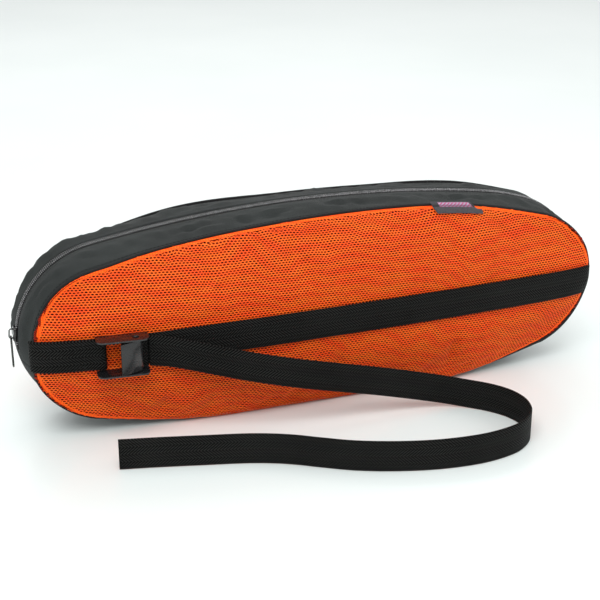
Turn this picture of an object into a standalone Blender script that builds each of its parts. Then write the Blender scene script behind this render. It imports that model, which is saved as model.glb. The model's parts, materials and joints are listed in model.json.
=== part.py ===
"""Mesh-sided carry bag for snowboard kit, with a curved zipper and a cam-buckled webbing strap.

The bag stands on its base. +X runs along its length, -Y is the front with the strap, and +Z is up.
The origin is the middle of the flat base.
"""

import math

import bmesh
import bpy
from mathutils import Matrix, Vector

# Seam outline, drawn in the XZ plane: both panels are cut to it
LENGTH = 0.487  # end to end
HEIGHT = 0.1585  # base to the top of the seam
END_HEIGHT = 0.0755  # where the two ends stand upright, and where the strap is sewn in
CROWN = 0.0165  # rise of the long top curve above the shoulder curves
KEEL = 0.0130  # rise of the base under the heel curves
BASE_FLAT = 0.075  # half-length of the flat stretch of base

# Body of the bag
THICKNESS = 0.064  # between the front seam and the rear seam
DOME = 0.0205  # how far each stuffed panel stands out from its seam
ARCH = 0.007  # how far the gusset swells above the seams
MESH_THICK = 0.0020
FABRIC_THICK = 0.0012
GAP = 0.0003  # between pieces that touch

# Edging
PIPING_RADIUS = 0.0013
PIPING_PROUD = 0.0003  # piping centre above the seam outline
BINDING_WIDTH = 0.0045
BINDING_THICK = 0.0016

# Zipper
ZIP_SLOT = 0.0052  # half-width of the slot between the two gusset strips
TAPE_WIDTH = 0.0130
TAPE_THICK = 0.0005
COIL_WIDTH = 0.0024
COIL_THICK = 0.0020
COIL_SPLIT = 0.0005  # half the slit between the two rows
SEAM_DIP = math.radians(11)  # the zipper panel is sewn to the base gusset this far down each heel curve
CHAIN_DIP = math.radians(2.5)
STOP_LENGTH = 0.0024

# Zipper slider
SLIDER_LENGTH = 0.0110
SLIDER_WIDTH = 0.0086
SLIDER_WALL = 0.0010
SLIDER_POST = 0.0005
SLIDER_CLEAR = 0.0006
SLIDER_ANGLE = math.radians(4.5)  # where it parks, up the left shoulder curve
BAIL_WIDTH = 0.0012
BAIL_LENGTH = 0.0086
PULL_LENGTH = 0.0270
PULL_WIDTH = 0.0052
PULL_WIRE = 0.0012
PULL_LIFT = 0.0008  # under the pull where it lies over the slider
PULL_CLEAR = 0.0005  # between the pull and the leg of the bail

# Webbing
STRAP_WIDTH = 0.025
STRAP_THICK = 0.0016
STRAP_CLEAR = 0.0006  # under the strap where it lies on the panel
STRAP_LIFT = 0.0030  # the strap rides this much above its ends in the middle

# Cam buckle, in its own frame: x along the strap from the anchor bar, y inwards, z across the strap
BUCKLE_INSET = 0.0505  # anchor bar from the left end of the bag
FRAME_LENGTH = 0.0400
FRAME_TAIL = 0.0050  # side plates past the anchor bar
FRAME_DEPTH = 0.0146
PLATE_THICK = 0.0012
SIDE_CLEAR = 0.0011  # strap edge to side plate
ANCHOR_BAR = 0.0024
STRAP_BAR_START = 0.0170  # the edge that the strap wraps round
PIN_ALONG = 0.0254
PIN_RISE = 0.0058
PIN_RADIUS = 0.0015
PIN_CLEAR = 0.00015
PIN_HEAD_RADIUS = 0.0026
PIN_HEAD_THICK = 0.0008
LEVER_CLEAR = 0.0010  # lever to side plate
LEVER_THICK = 0.0015
LEVER_LENGTH = 0.0158
LEVER_ANGLE = math.radians(25.6)
LEVER_BORE = 0.0031  # clear radius under the lever, round the pin
LEVER_TOOTH = 0.0008
LEVER_TEETH = 13
EAR_RADIUS = 0.0028
EAR_THICK = 0.0012
SPRING_WIRE = 0.0004
SPRING_RADIUS = 0.00225
SPRING_TURNS = 5
SPRING_LEG = 0.005
SPRING_LEG_TILT = 0.0012

# Label sewn into the top front seam
LABEL_INSET = 0.1365  # its middle from the right end of the bag
LABEL_WIDTH = 0.042
LABEL_THICK = 0.0007
LABEL_DROP = math.radians(27)

# Middle line of the free strap tail, from the cam to its cut end. It stands on its edge on the floor
TAIL_ROUTE = [
    (-0.1582, -0.0546, 0.0755),
    (-0.1420, -0.0585, 0.0735),
    (-0.1150, -0.0660, 0.0668),
    (-0.0850, -0.0725, 0.0585),
    (-0.0500, -0.0780, 0.0498),
    (-0.0150, -0.0795, 0.0410),
    (0.0200, -0.0800, 0.0322),
    (0.0520, -0.0810, 0.0236),
    (0.0780, -0.0835, 0.0168),
    (0.0960, -0.0905, 0.0134),
    (0.1110, -0.1035, 0.0129),
    (0.1210, -0.1190, 0.0129),
    (0.1245, -0.1370, 0.0129),
    (0.1195, -0.1550, 0.0129),
    (0.1070, -0.1680, 0.0129),
    (0.0900, -0.1755, 0.0129),
    (0.0640, -0.1790, 0.0129),
    (0.0310, -0.1760, 0.0129),
    (-0.0010, -0.1675, 0.0129),
    (-0.0290, -0.1560, 0.0129),
    (-0.0510, -0.1430, 0.0129),
    (-0.0720, -0.1300, 0.0129),
    (-0.0980, -0.1190, 0.0129),
    (-0.1350, -0.1090, 0.0129),
    (-0.1660, -0.1010, 0.0129),
    (-0.1940, -0.0945, 0.0129),
]

# Values that follow from the ones above
SHOULDER_RADIUS = HEIGHT - END_HEIGHT - CROWN
HEEL_RADIUS = END_HEIGHT - KEEL
SHOULDER_X = LENGTH / 2 - SHOULDER_RADIUS
HEEL_X = LENGTH / 2 - HEEL_RADIUS
SHOULDER_TOP = SHOULDER_RADIUS + CROWN
TOP_RADIUS = (SHOULDER_X**2 + SHOULDER_TOP**2 - SHOULDER_RADIUS**2) / (2 * CROWN)
FLANK_RUN = HEEL_X - BASE_FLAT
FLANK_RADIUS = (FLANK_RUN**2 + END_HEIGHT**2 - HEEL_RADIUS**2) / (2 * KEEL)
SHOULDER_TURN = math.atan2(TOP_RADIUS - SHOULDER_TOP, SHOULDER_X)
HEEL_TURN = math.atan2(FLANK_RADIUS - END_HEIGHT, FLANK_RUN)
HALF_TURN = math.pi
QUARTER_TURN = math.pi / 2

SEAM_Y = THICKNESS / 2
PANEL_RIM = SEAM_Y + PIPING_RADIUS + GAP
GUSSET_EDGE = SEAM_Y - PIPING_RADIUS - GAP
ZIP_CREST = ARCH - FABRIC_THICK - GAP  # top of the zipper tape
CHAIN_BASE = ZIP_CREST + GAP
CHAIN_TOP = CHAIN_BASE + COIL_THICK
CHAIN_EDGE = COIL_SPLIT + COIL_WIDTH
STRAP_GAP = STRAP_CLEAR + STRAP_THICK / 2
STRAP_LEVEL = PLATE_THICK / 2 + GAP + STRAP_THICK / 2  # strap's middle off the middle of the buckle's plate

ORANGE = ((0.90, 0.13, 0.01, 1.0), 0.75, 0.0)
BLACK_FABRIC = ((0.030, 0.032, 0.034, 1.0), 0.85, 0.0)
BLACK_WEBBING = ((0.018, 0.019, 0.020, 1.0), 0.80, 0.0)
BLACK_NYLON = ((0.035, 0.035, 0.037, 1.0), 0.35, 0.0)
BLACK_STEEL = ((0.020, 0.021, 0.023, 1.0), 0.28, 0.6)
BRIGHT_METAL = ((0.55, 0.56, 0.57, 1.0), 0.25, 1.0)
GREY_LABEL = ((0.08, 0.08, 0.085, 1.0), 0.80, 0.0)


def clear_scene():
    for old in list(bpy.data.objects):
        bpy.data.objects.remove(old)


def give_material(piece, look):
    colour, roughness, metallic = look
    material = bpy.data.materials.new(piece.name)
    material.use_nodes = True
    shader = material.node_tree.nodes["Principled BSDF"]
    shader.inputs["Base Color"].default_value = colour
    shader.inputs["Roughness"].default_value = roughness
    shader.inputs["Metallic"].default_value = metallic
    piece.data.materials.append(material)


def add_object(name, bm, look, smooth=True):
    """A named object from a closed bmesh, with its faces turned outwards."""
    bmesh.ops.recalc_face_normals(bm, faces=bm.faces)
    mesh = bpy.data.meshes.new(name)
    bm.to_mesh(mesh)
    bm.free()
    if smooth:
        mesh.shade_smooth()
        mesh.set_sharp_from_angle(angle=math.radians(35))
    piece = bpy.data.objects.new(name, mesh)
    bpy.context.scene.collection.objects.link(piece)
    give_material(piece, look)
    return piece


def loft(bm, rings, closed):
    """Skins rings of equal count into bm. An open loft gets a face at each end, a closed one joins up."""
    skin = [[bm.verts.new(point) for point in ring] for ring in rings]
    pairs = list(zip(skin, skin[1:]))
    if closed:
        pairs.append((skin[-1], skin[0]))
    else:
        bm.faces.new(skin[0])
        bm.faces.new(reversed(skin[-1]))
    count = len(rings[0])
    for first, second in pairs:
        for i in range(count):
            j = (i + 1) % count
            bm.faces.new((first[i], second[i], second[j], first[j]))
    return skin


def arc(centre_x, centre_z, radius, start, end, steps):
    """Stations along an arc, without its last one: a point on the outline and its outward normal."""
    found = []
    for i in range(steps):
        angle = start + (end - start) * i / steps
        normal = Vector((math.cos(angle), 0, math.sin(angle)))
        found.append((Vector((centre_x, 0, centre_z)) + normal * radius, normal))
    return found


def upper_outline(dip=0.0):
    """Stations over the top of the outline, from right to left. dip is how far they reach down each heel."""
    found = []
    if dip:
        found += arc(HEEL_X, END_HEIGHT, HEEL_RADIUS, -dip, 0, 2)
    top_z = HEIGHT - TOP_RADIUS
    left_turn = HALF_TURN - SHOULDER_TURN
    found += arc(SHOULDER_X, END_HEIGHT, SHOULDER_RADIUS, 0, SHOULDER_TURN, 11)
    found += arc(0, top_z, TOP_RADIUS, SHOULDER_TURN, left_turn, 14)
    found += arc(-SHOULDER_X, END_HEIGHT, SHOULDER_RADIUS, left_turn, HALF_TURN, 11)
    if dip:
        found += arc(-HEEL_X, END_HEIGHT, HEEL_RADIUS, HALF_TURN, HALF_TURN + dip, 2)
    return found


def lower_outline(dip=0.0):
    """Stations from the left heel curve, along the base, to the right one."""
    right_heel = 2 * HALF_TURN - HEEL_TURN
    left_heel = HALF_TURN + HEEL_TURN
    base = HALF_TURN + QUARTER_TURN
    found = arc(-HEEL_X, END_HEIGHT, HEEL_RADIUS, HALF_TURN + dip, left_heel, 7)
    found += arc(-BASE_FLAT, FLANK_RADIUS, FLANK_RADIUS, left_heel, base, 4)
    down = Vector((0, 0, -1))
    found += [(Vector((BASE_FLAT * share, 0, 0)), down) for share in (-1, 1 / 3, 1)]
    found += arc(BASE_FLAT, FLANK_RADIUS, FLANK_RADIUS, base, right_heel, 4)[1:]
    found += arc(HEEL_X, END_HEIGHT, HEEL_RADIUS, right_heel, 2 * HALF_TURN - dip, 7)
    return found


def last_station(dip):
    """The station where upper_outline(dip) ends and lower_outline(dip) starts."""
    return arc(-HEEL_X, END_HEIGHT, HEEL_RADIUS, HALF_TURN + dip, HALF_TURN, 1)


def first_station(dip):
    """The station where lower_outline(dip) ends and upper_outline(dip) starts."""
    return arc(HEEL_X, END_HEIGHT, HEEL_RADIUS, -dip, 0, 1)


def full_outline():
    return upper_outline() + lower_outline()


def place(station, y, offset):
    """The point at a depth y, and offset outwards from the seam outline."""
    point, normal = station
    return point + normal * offset + Vector((0, y, 0))


def downward(normal):
    """0 on the ends and the top of the outline, 1 on the base, smooth between."""
    share = min(1.0, max(0.0, (-normal.z - 0.25) / 0.72))
    return share * share * (3 - 2 * share)


def swell(y, normal):
    """How far the gusset stands above the seam outline at depth y. It is flat where the bag stands on it."""
    return ARCH * (1 - downward(normal)) * (1 - (y / SEAM_Y) ** 2)


def gusset_band(bm, stations, depths, top=0.0, thick=FABRIC_THICK, closed=False):
    """A band that follows the swelling gusset, top below its outer surface."""
    rings = []
    for station in stations:
        normal = station[1]
        outer = [place(station, y, swell(y, normal) - top) for y in depths]
        inner = [place(station, y, swell(y, normal) - top - thick) for y in reversed(depths)]
        rings.append(outer + inner)
    loft(bm, rings, closed)


def box_band(bm, stations, depth_low, depth_high, low, high, closed=False):
    """A band of rectangular section between two depths and two offsets."""
    corners = ((depth_low, low), (depth_high, low), (depth_high, high), (depth_low, high))
    loft(bm, [[place(s, y, offset) for y, offset in corners] for s in stations], closed)


def build_panel(name, side):
    """One stuffed mesh panel: a shallow dome over the outline. side is -1 for the front, 1 for the rear."""
    bm = bmesh.new()
    outline = full_outline()
    middle = Vector((0, 0, END_HEIGHT))
    ring_count = 6
    shells = []
    for inset in (0.0, MESH_THICK):
        rings = []
        for k in range(ring_count):
            turn = QUARTER_TURN * k / ring_count
            depth = side * (PANEL_RIM + (DOME - inset) * math.sin(turn))
            ring = [middle + (place(s, 0, -inset) - middle) * math.cos(turn) for s in outline]
            rings.append([bm.verts.new(p + Vector((0, depth, 0))) for p in ring])
        crest = bm.verts.new(middle + Vector((0, side * (PANEL_RIM + DOME - inset), 0)))
        shells.append((rings, crest))
    count = len(outline)
    for rings, crest in shells:
        for first, second in zip(rings, rings[1:]):
            for i in range(count):
                j = (i + 1) % count
                bm.faces.new((first[i], first[j], second[j], second[i]))
        for i in range(count):
            bm.faces.new((rings[-1][i], rings[-1][(i + 1) % count], crest))
    outer_rim = shells[0][0][0]
    inner_rim = shells[1][0][0]
    for i in range(count):
        j = (i + 1) % count
        bm.faces.new((outer_rim[i], outer_rim[j], inner_rim[j], inner_rim[i]))
    return add_object(name, bm, ORANGE)


def build_bottom_gusset():
    bm = bmesh.new()
    stations = lower_outline(SEAM_DIP) + first_station(SEAM_DIP)
    depths = [GUSSET_EDGE * share for share in (-1, -0.6, -0.2, 0.2, 0.6, 1)]
    gusset_band(bm, stations, depths)
    return add_object("bottom_gusset", bm, BLACK_FABRIC)


def zipper_panel_stations():
    """Stations of the zipper panel, which stops just short of the base gusset."""
    dip = SEAM_DIP - GAP / HEEL_RADIUS
    return upper_outline(dip) + last_station(dip)


def build_zip_strip(name, side):
    """The fabric strip between one panel and the zipper."""
    bm = bmesh.new()
    reach = GUSSET_EDGE - ZIP_SLOT
    depths = [side * (ZIP_SLOT + reach * share) for share in (0, 0.4, 0.75, 1)]
    gusset_band(bm, zipper_panel_stations(), depths)
    return add_object(name, bm, BLACK_FABRIC)


def build_zip_tape(name, side):
    bm = bmesh.new()
    depths = [side * y for y in (COIL_SPLIT, ZIP_SLOT, COIL_SPLIT + TAPE_WIDTH)]
    gusset_band(bm, zipper_panel_stations(), depths, FABRIC_THICK + GAP, TAPE_THICK)
    return add_object(name, bm, BLACK_FABRIC)


def build_zip_coil(name, side):
    """The outer shape of one row of zipper coil."""
    bm = bmesh.new()
    stations = upper_outline(CHAIN_DIP) + last_station(CHAIN_DIP)
    near, far = sorted((side * COIL_SPLIT, side * CHAIN_EDGE))
    box_band(bm, stations, near, far, CHAIN_BASE, CHAIN_TOP)
    return add_object(name, bm, BLACK_NYLON)


def stop_stations(left):
    """Two stations just past the end of the chain, on the left or the right end of the bag."""
    start = CHAIN_DIP + GAP / HEEL_RADIUS
    end = start + STOP_LENGTH / HEEL_RADIUS
    if left:
        return last_station(start) + last_station(end)
    return first_station(start) + first_station(end)


def build_zip_stop(name, left, y0, y1):
    """A clip at one end of the chain: one on each row by the slider, one over both at the far end."""
    bm = bmesh.new()
    box_band(bm, stop_stations(left), y0, y1, CHAIN_BASE, CHAIN_TOP)
    return add_object(name, bm, BRIGHT_METAL)


def build_zip_end_tab(name, left):
    """The folded fabric tab that closes the slot between the strips, past the end of the chain."""
    bm = bmesh.new()
    start = CHAIN_DIP + (2 * GAP + STOP_LENGTH) / HEEL_RADIUS
    end = SEAM_DIP - GAP / HEEL_RADIUS
    pick = last_station if left else first_station
    half = ZIP_SLOT - GAP
    stations = pick(start) + pick((start + end) / 2) + pick(end)
    gusset_band(bm, stations, (-half, 0, half), top=0.0, thick=FABRIC_THICK)
    return add_object(name, bm, BLACK_FABRIC)


def build_piping(name, side):
    """The rolled cord in one seam. It is pressed level with the base where the bag stands on it."""
    bm = bmesh.new()
    sides = 6
    rings = []
    for station in full_outline():
        lift = PIPING_PROUD - (PIPING_PROUD + PIPING_RADIUS) * downward(station[1])
        ring = []
        for i in range(sides):
            angle = 2 * HALF_TURN * i / sides
            y = side * SEAM_Y + PIPING_RADIUS * math.cos(angle)
            ring.append(place(station, y, lift + PIPING_RADIUS * math.sin(angle)))
        rings.append(ring)
    loft(bm, rings, closed=True)
    return add_object(name, bm, BLACK_FABRIC)


def build_binding(name, side):
    """The tape that binds the raw seam edges inside the bag."""
    bm = bmesh.new()
    top = -FABRIC_THICK - GAP
    near, far = sorted((side * (GUSSET_EDGE - BINDING_WIDTH), side * GUSSET_EDGE))
    box_band(bm, full_outline(), near, far, top - BINDING_THICK, top, closed=True)
    return add_object(name, bm, BLACK_FABRIC)


def join(target, parts):
    """Unites parts into target with Booleans, and hides them."""
    for part in parts:
        union = target.modifiers.new("union_" + part.name, "BOOLEAN")
        union.operation = "UNION"
        union.object = part
        mark_as_tool(part)


def cut(target, parts):
    for part in parts:
        difference = target.modifiers.new("cut_" + part.name, "BOOLEAN")
        difference.operation = "DIFFERENCE"
        difference.object = part
        mark_as_tool(part)


def mark_as_tool(part):
    part.hide_render = True
    part.display_type = "WIRE"


def block(name, low, high, look, parent=None):
    """A rectangular block between two corners."""
    bm = bmesh.new()
    x0, y0, z0 = low
    x1, y1, z1 = high
    corners = ((x0, y0), (x1, y0), (x1, y1), (x0, y1))
    loft(bm, [[(x, y, z) for x, y in corners] for z in (z0, z1)], closed=False)
    piece = add_object(name, bm, look, smooth=False)
    piece.parent = parent
    return piece


def rod(name, radius, z0, z1, centre, look, parent=None, sides=20):
    """A round rod along Z."""
    bm = bmesh.new()
    turns = [2 * HALF_TURN * i / sides for i in range(sides)]
    cx, cy = centre
    rings = []
    for z in (z0, z1):
        rings.append([(cx + radius * math.cos(t), cy + radius * math.sin(t), z) for t in turns])
    loft(bm, rings, closed=False)
    piece = add_object(name, bm, look)
    piece.parent = parent
    return piece


def slider_seat():
    """An empty on the zipper's line where the slider parks, with its z axis outwards and x up the bag."""
    angle = HALF_TURN - SLIDER_ANGLE
    outward = Vector((math.cos(angle), 0, math.sin(angle)))
    seat = bpy.data.objects.new("slider_seat", None)
    seat.location = Vector((-SHOULDER_X, 0, END_HEIGHT)) + outward * SHOULDER_RADIUS
    seat.rotation_euler = (0, QUARTER_TURN - angle, 0)
    bpy.context.scene.collection.objects.link(seat)
    return seat


def build_slider(seat):
    """Two wings joined by a thin post, with lips that hold the chain and a bail for the pull."""
    half_length = SLIDER_LENGTH / 2
    half_width = SLIDER_WIDTH / 2
    wing_low = CHAIN_TOP + SLIDER_CLEAR
    wing_top = wing_low + SLIDER_WALL
    lip_low = ZIP_CREST + SLIDER_CLEAR
    under_top = ZIP_CREST - TAPE_THICK - SLIDER_CLEAR
    bm = bmesh.new()
    lip = half_width - SLIDER_WALL * 0.8
    profile = [
        (-half_width, lip_low),
        (-half_width, wing_top),
        (half_width, wing_top),
        (half_width, lip_low),
        (lip, lip_low),
        (lip, wing_low),
        (-lip, wing_low),
        (-lip, lip_low),
    ]
    loft(bm, [[(x, y, z) for y, z in profile] for x in (-half_length, half_length)], closed=False)
    slider = add_object("zip_slider", bm, BRIGHT_METAL, smooth=False)
    slider.parent = seat
    overlap = SLIDER_WALL / 2
    under = block(
        "slider_under_wing",
        (-half_length, -half_width, under_top - SLIDER_WALL),
        (half_length, half_width, under_top),
        BRIGHT_METAL,
        seat,
    )
    post = block(
        "slider_post",
        (-half_length + overlap, -SLIDER_POST / 2, under_top - overlap),
        (-overlap, SLIDER_POST / 2, wing_low + overlap),
        BRIGHT_METAL,
        seat,
    )
    bail = build_bail(seat, wing_top)
    join(slider, (under, post, bail))
    return slider, wing_top


def build_bail(seat, wing_top):
    """The little bridge on the slider that the pull hangs from."""
    rise = PULL_LIFT + PULL_WIRE + GAP
    half = BAIL_LENGTH / 2
    outer_top = rise + SLIDER_WALL
    inner = half - SLIDER_WALL
    foot = -SLIDER_WALL / 2
    outline = [
        (-half, foot),
        (-half, outer_top * 0.6),
        (-half * 0.6, outer_top),
        (half * 0.6, outer_top),
        (half, outer_top * 0.6),
        (half, foot),
        (inner, foot),
        (inner, rise * 0.85),
        (inner * 0.85, rise),
        (-inner * 0.85, rise),
        (-inner, rise * 0.85),
        (-inner, foot),
    ]
    bm = bmesh.new()
    rings = []
    for y in (-BAIL_WIDTH / 2, BAIL_WIDTH / 2):
        rings.append([(x, y, wing_top + z) for x, z in outline])
    loft(bm, rings, closed=False)
    bail = add_object("slider_bail", bm, BRIGHT_METAL, smooth=False)
    bail.parent = seat
    return bail


def build_pull(seat, wing_top):
    """A long open loop that hangs straight down from the low end of the bail."""
    hinge = bpy.data.objects.new("pull_hinge", None)
    hinge.parent = seat
    along = PULL_CLEAR + PULL_WIRE / 2 + SLIDER_WALL - BAIL_LENGTH / 2
    hinge.location = (along, 0, wing_top + PULL_LIFT + PULL_WIRE / 2)
    hinge.rotation_euler = (0, -SLIDER_ANGLE, 0)
    bpy.context.scene.collection.objects.link(hinge)
    bm = bmesh.new()
    radius = (PULL_WIDTH - PULL_WIRE) / 2
    run = PULL_LENGTH - PULL_WIRE - 2 * radius
    steps = 6
    line = []
    for centre_x, start in ((-radius, -QUARTER_TURN), (-radius - run, QUARTER_TURN)):
        for i in range(steps + 1):
            turn = start + HALF_TURN * i / steps
            out = Vector((math.cos(turn), math.sin(turn), 0))
            line.append((Vector((centre_x, 0, 0)) + out * radius, out))
    half = PULL_WIRE / 2
    rings = []
    for point, out in line:
        up = Vector((0, 0, half))
        side = out * half
        rings.append([point - side - up, point + side - up, point + side + up, point - side + up])
    loft(bm, rings, closed=True)
    pull = add_object("pull_tab", bm, BRIGHT_METAL)
    pull.parent = hinge
    return pull


def plan_normals(line):
    """Unit vectors in plan, square to a line of points."""
    found = []
    for i in range(len(line)):
        before = line[max(i - 1, 0)]
        after = line[min(i + 1, len(line) - 1)]
        along = after - before
        found.append(Vector((-along.y, along.x, 0)).normalized())
    return found


def webbing(name, line):
    """Flat webbing whose width stands upright and whose middle follows line."""
    bm = bmesh.new()
    half_width = Vector((0, 0, STRAP_WIDTH / 2))
    rings = []
    for point, normal in zip(line, plan_normals(line)):
        side = normal * (STRAP_THICK / 2)
        rings.append(
            [
                point - side - half_width,
                point + side - half_width,
                point + side + half_width,
                point - side + half_width,
            ]
        )
    loft(bm, rings, closed=False)
    return add_object(name, bm, BLACK_WEBBING)


def over_panel(angle, clear, height=END_HEIGHT):
    """A point on a line clear in front of the front panel. angle is 0 at the right end of the bag."""
    half = LENGTH / 2
    point = Vector((half * math.cos(angle), -PANEL_RIM - DOME * math.sin(angle), height))
    outward = Vector((math.cos(angle) / half, -math.sin(angle) / DOME, 0)).normalized()
    return point + outward * clear


def panel_angle(x):
    """The angle for over_panel at which the panel is at x."""
    return math.acos(max(-1.0, min(1.0, 2 * x / LENGTH)))


def buckle_seat():
    """An empty at the middle of the anchor bar, turned to lie along the panel."""
    x = BUCKLE_INSET - LENGTH / 2
    behind = STRAP_THICK + STRAP_CLEAR + GAP + PLATE_THICK / 2
    start = over_panel(panel_angle(x), behind)
    end = over_panel(panel_angle(x + FRAME_LENGTH - FRAME_TAIL), behind)
    angle = math.atan2(end.y - start.y, end.x - start.x)
    seat = bpy.data.objects.new("buckle_seat", None)
    seat.location = start
    seat.rotation_euler = (0, 0, angle)
    bpy.context.scene.collection.objects.link(seat)
    return seat, Matrix.Translation(start) @ Matrix.Rotation(angle, 4, "Z")


def build_stub(to_world):
    """The short strap that holds the buckle: two layers, folded round the anchor bar."""
    bar = ANCHOR_BAR / 2
    layer = GAP / 2 + STRAP_THICK / 2
    turn_radius = max(PLATE_THICK / 2 + GAP, layer) + STRAP_THICK / 2
    steps = 10
    last = panel_angle((to_world @ Vector((-FRAME_TAIL, 0, 0))).x)
    angles = [HALF_TURN + (last - HALF_TURN) * i / steps for i in range(steps + 1)]
    inner = [over_panel(angle, STRAP_GAP) for angle in angles]
    outer = [over_panel(angle, STRAP_GAP + STRAP_THICK + GAP) for angle in angles]
    fold = []
    turn_x = bar - PLATE_THICK / 2 + GAP
    past_bar = -bar - GAP
    fold.append(to_world @ Vector((past_bar, turn_radius, 0)))
    for i in range(7):
        angle = QUARTER_TURN - HALF_TURN * i / 6
        along = turn_x + turn_radius * math.cos(angle)
        fold.append(to_world @ Vector((along, turn_radius * math.sin(angle), 0)))
    fold.append(to_world @ Vector((past_bar, -turn_radius, 0)))
    return webbing("strap_stub", inner + fold + list(reversed(outer)))


def build_strap_run(to_world):
    """The long strap from the right end of the bag, over the front panel, to the buckle."""
    buckle_end = to_world @ Vector((FRAME_LENGTH - FRAME_TAIL + GAP, STRAP_LEVEL, 0))
    last = panel_angle(buckle_end.x)
    angles = [math.radians(a) for a in (0, 3, 6, 10, 15, 21)]
    steps = 12
    first = angles[-1]
    angles += [first + (last - first) * i / steps for i in range(1, steps + 1)]
    line = []
    for angle in angles:
        share = 4 * (angle / last) * (1 - angle / last)
        line.append(over_panel(angle, STRAP_GAP, END_HEIGHT + STRAP_LIFT * share))
    return webbing("strap_run", line)


def build_strap_loop(to_world):
    """The stretch of the strap inside the buckle: under the plate, round its edge and back under the cam."""
    level = STRAP_LEVEL
    far = FRAME_LENGTH - FRAME_TAIL
    line = [Vector((x, level, 0)) for x in (far, far * 0.75, STRAP_BAR_START + level)]
    turn_x = STRAP_BAR_START + PLATE_THICK / 2 - GAP
    for i in range(1, 6):
        angle = QUARTER_TURN + HALF_TURN * i / 6
        line.append(Vector((turn_x + level * math.cos(angle), level * math.sin(angle), 0)))
    line += [Vector((x, -level, 0)) for x in (STRAP_BAR_START + level, far * 0.75, far)]
    return webbing("strap_loop", [to_world @ point for point in line])


def smooth_line(points, per_span):
    """A smooth curve through points, read at per_span places in each span."""
    found = []
    last = len(points) - 1
    for i in range(last):
        a = points[max(i - 1, 0)]
        b = points[i]
        c = points[i + 1]
        d = points[min(i + 2, last)]
        for k in range(per_span):
            t = k / per_span
            found.append(
                0.5
                * (
                    2 * b
                    + (c - a) * t
                    + (2 * a - 5 * b + 4 * c - d) * t * t
                    + (3 * b - a - 3 * c + d) * t * t * t
                )
            )
    found.append(points[-1])
    return found


def build_strap_tail():
    """The free end of the strap: it hangs from the cam, turns round on the floor and comes back."""
    return webbing("strap_tail", smooth_line([Vector(p) for p in TAIL_ROUTE], 3))


def build_buckle_frame(seat):
    """A U-shaped steel frame with an anchor bar, a strap plate and two side plates."""
    half_inner = STRAP_WIDTH / 2 + SIDE_CLEAR
    half_outer = half_inner + PLATE_THICK
    back = PLATE_THICK / 2
    front = back - FRAME_DEPTH
    profile = [
        (-half_outer, back),
        (half_outer, back),
        (half_outer, front),
        (half_inner, front),
        (half_inner, back - PLATE_THICK),
        (-half_inner, back - PLATE_THICK),
        (-half_inner, front),
        (-half_outer, front),
    ]
    start = -FRAME_TAIL
    end = FRAME_LENGTH - FRAME_TAIL
    bm = bmesh.new()
    loft(bm, [[(x, y, z) for z, y in profile] for x in (start, end)], closed=False)
    frame = add_object("buckle_frame", bm, BLACK_STEEL, smooth=False)
    frame.parent = seat
    bar = ANCHOR_BAR / 2
    over = PLATE_THICK
    windows = [
        block(
            "frame_window_" + side,
            (x0, -back - over, -half_inner),
            (x1, back + over, half_inner),
            BLACK_STEEL,
            seat,
        )
        for side, x0, x1 in (
            ("left", start - over, -bar),
            ("middle", bar, STRAP_BAR_START),
        )
    ]
    bore = rod(
        "frame_bore",
        PIN_RADIUS + PIN_CLEAR,
        -half_outer - over,
        half_outer + over,
        (PIN_ALONG, -PIN_RISE),
        BLACK_STEEL,
        seat,
    )
    corners = [plate_corner_cutter(seat, x, front) for x in (start, end)]
    cut(frame, windows + [bore] + corners)
    return frame


def plate_corner_cutter(seat, x, front):
    """Takes the corner off both side plates at one end of the frame."""
    size = 0.005
    reach = STRAP_WIDTH
    inwards = -size if x > 0 else size
    over = -inwards
    bm = bmesh.new()
    outline = [
        (x + inwards, front),
        (x + inwards * 0.45, front + size * 0.22),
        (x + inwards * 0.12, front + size * 0.6),
        (x, front + size),
        (x + over, front + size),
        (x + over, front - size),
        (x + inwards, front - size),
    ]
    rings = [[(px, py, z) for px, py in outline] for z in (-reach, reach)]
    loft(bm, rings, closed=False)
    name = "frame_corner_" + ("right" if x > 0 else "left")
    cutter = add_object(name, bm, BLACK_STEEL, smooth=False)
    cutter.parent = seat
    return cutter


def build_pin(seat):
    """The cam's pin, with a peened head outside each side plate."""
    plate = STRAP_WIDTH / 2 + SIDE_CLEAR + PLATE_THICK
    tip = plate + GAP + PIN_HEAD_THICK
    centre = Vector((PIN_ALONG, -PIN_RISE, 0))
    steps = [
        (-tip, PIN_HEAD_RADIUS * 0.7),
        (-tip + PIN_HEAD_THICK / 2, PIN_HEAD_RADIUS),
        (-plate - GAP, PIN_HEAD_RADIUS),
        (-plate - GAP, PIN_RADIUS),
        (plate + GAP, PIN_RADIUS),
        (plate + GAP, PIN_HEAD_RADIUS),
        (tip - PIN_HEAD_THICK / 2, PIN_HEAD_RADIUS),
        (tip, PIN_HEAD_RADIUS * 0.7),
    ]
    sides = 20
    turns = [2 * HALF_TURN * i / sides for i in range(sides)]
    rings = []
    for z, r in steps:
        rings.append([centre + Vector((r * math.cos(t), r * math.sin(t), z)) for t in turns])
    bm = bmesh.new()
    loft(bm, rings, closed=False)
    pin = add_object("buckle_pin", bm, BLACK_STEEL)
    pin.parent = seat
    return pin


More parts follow.
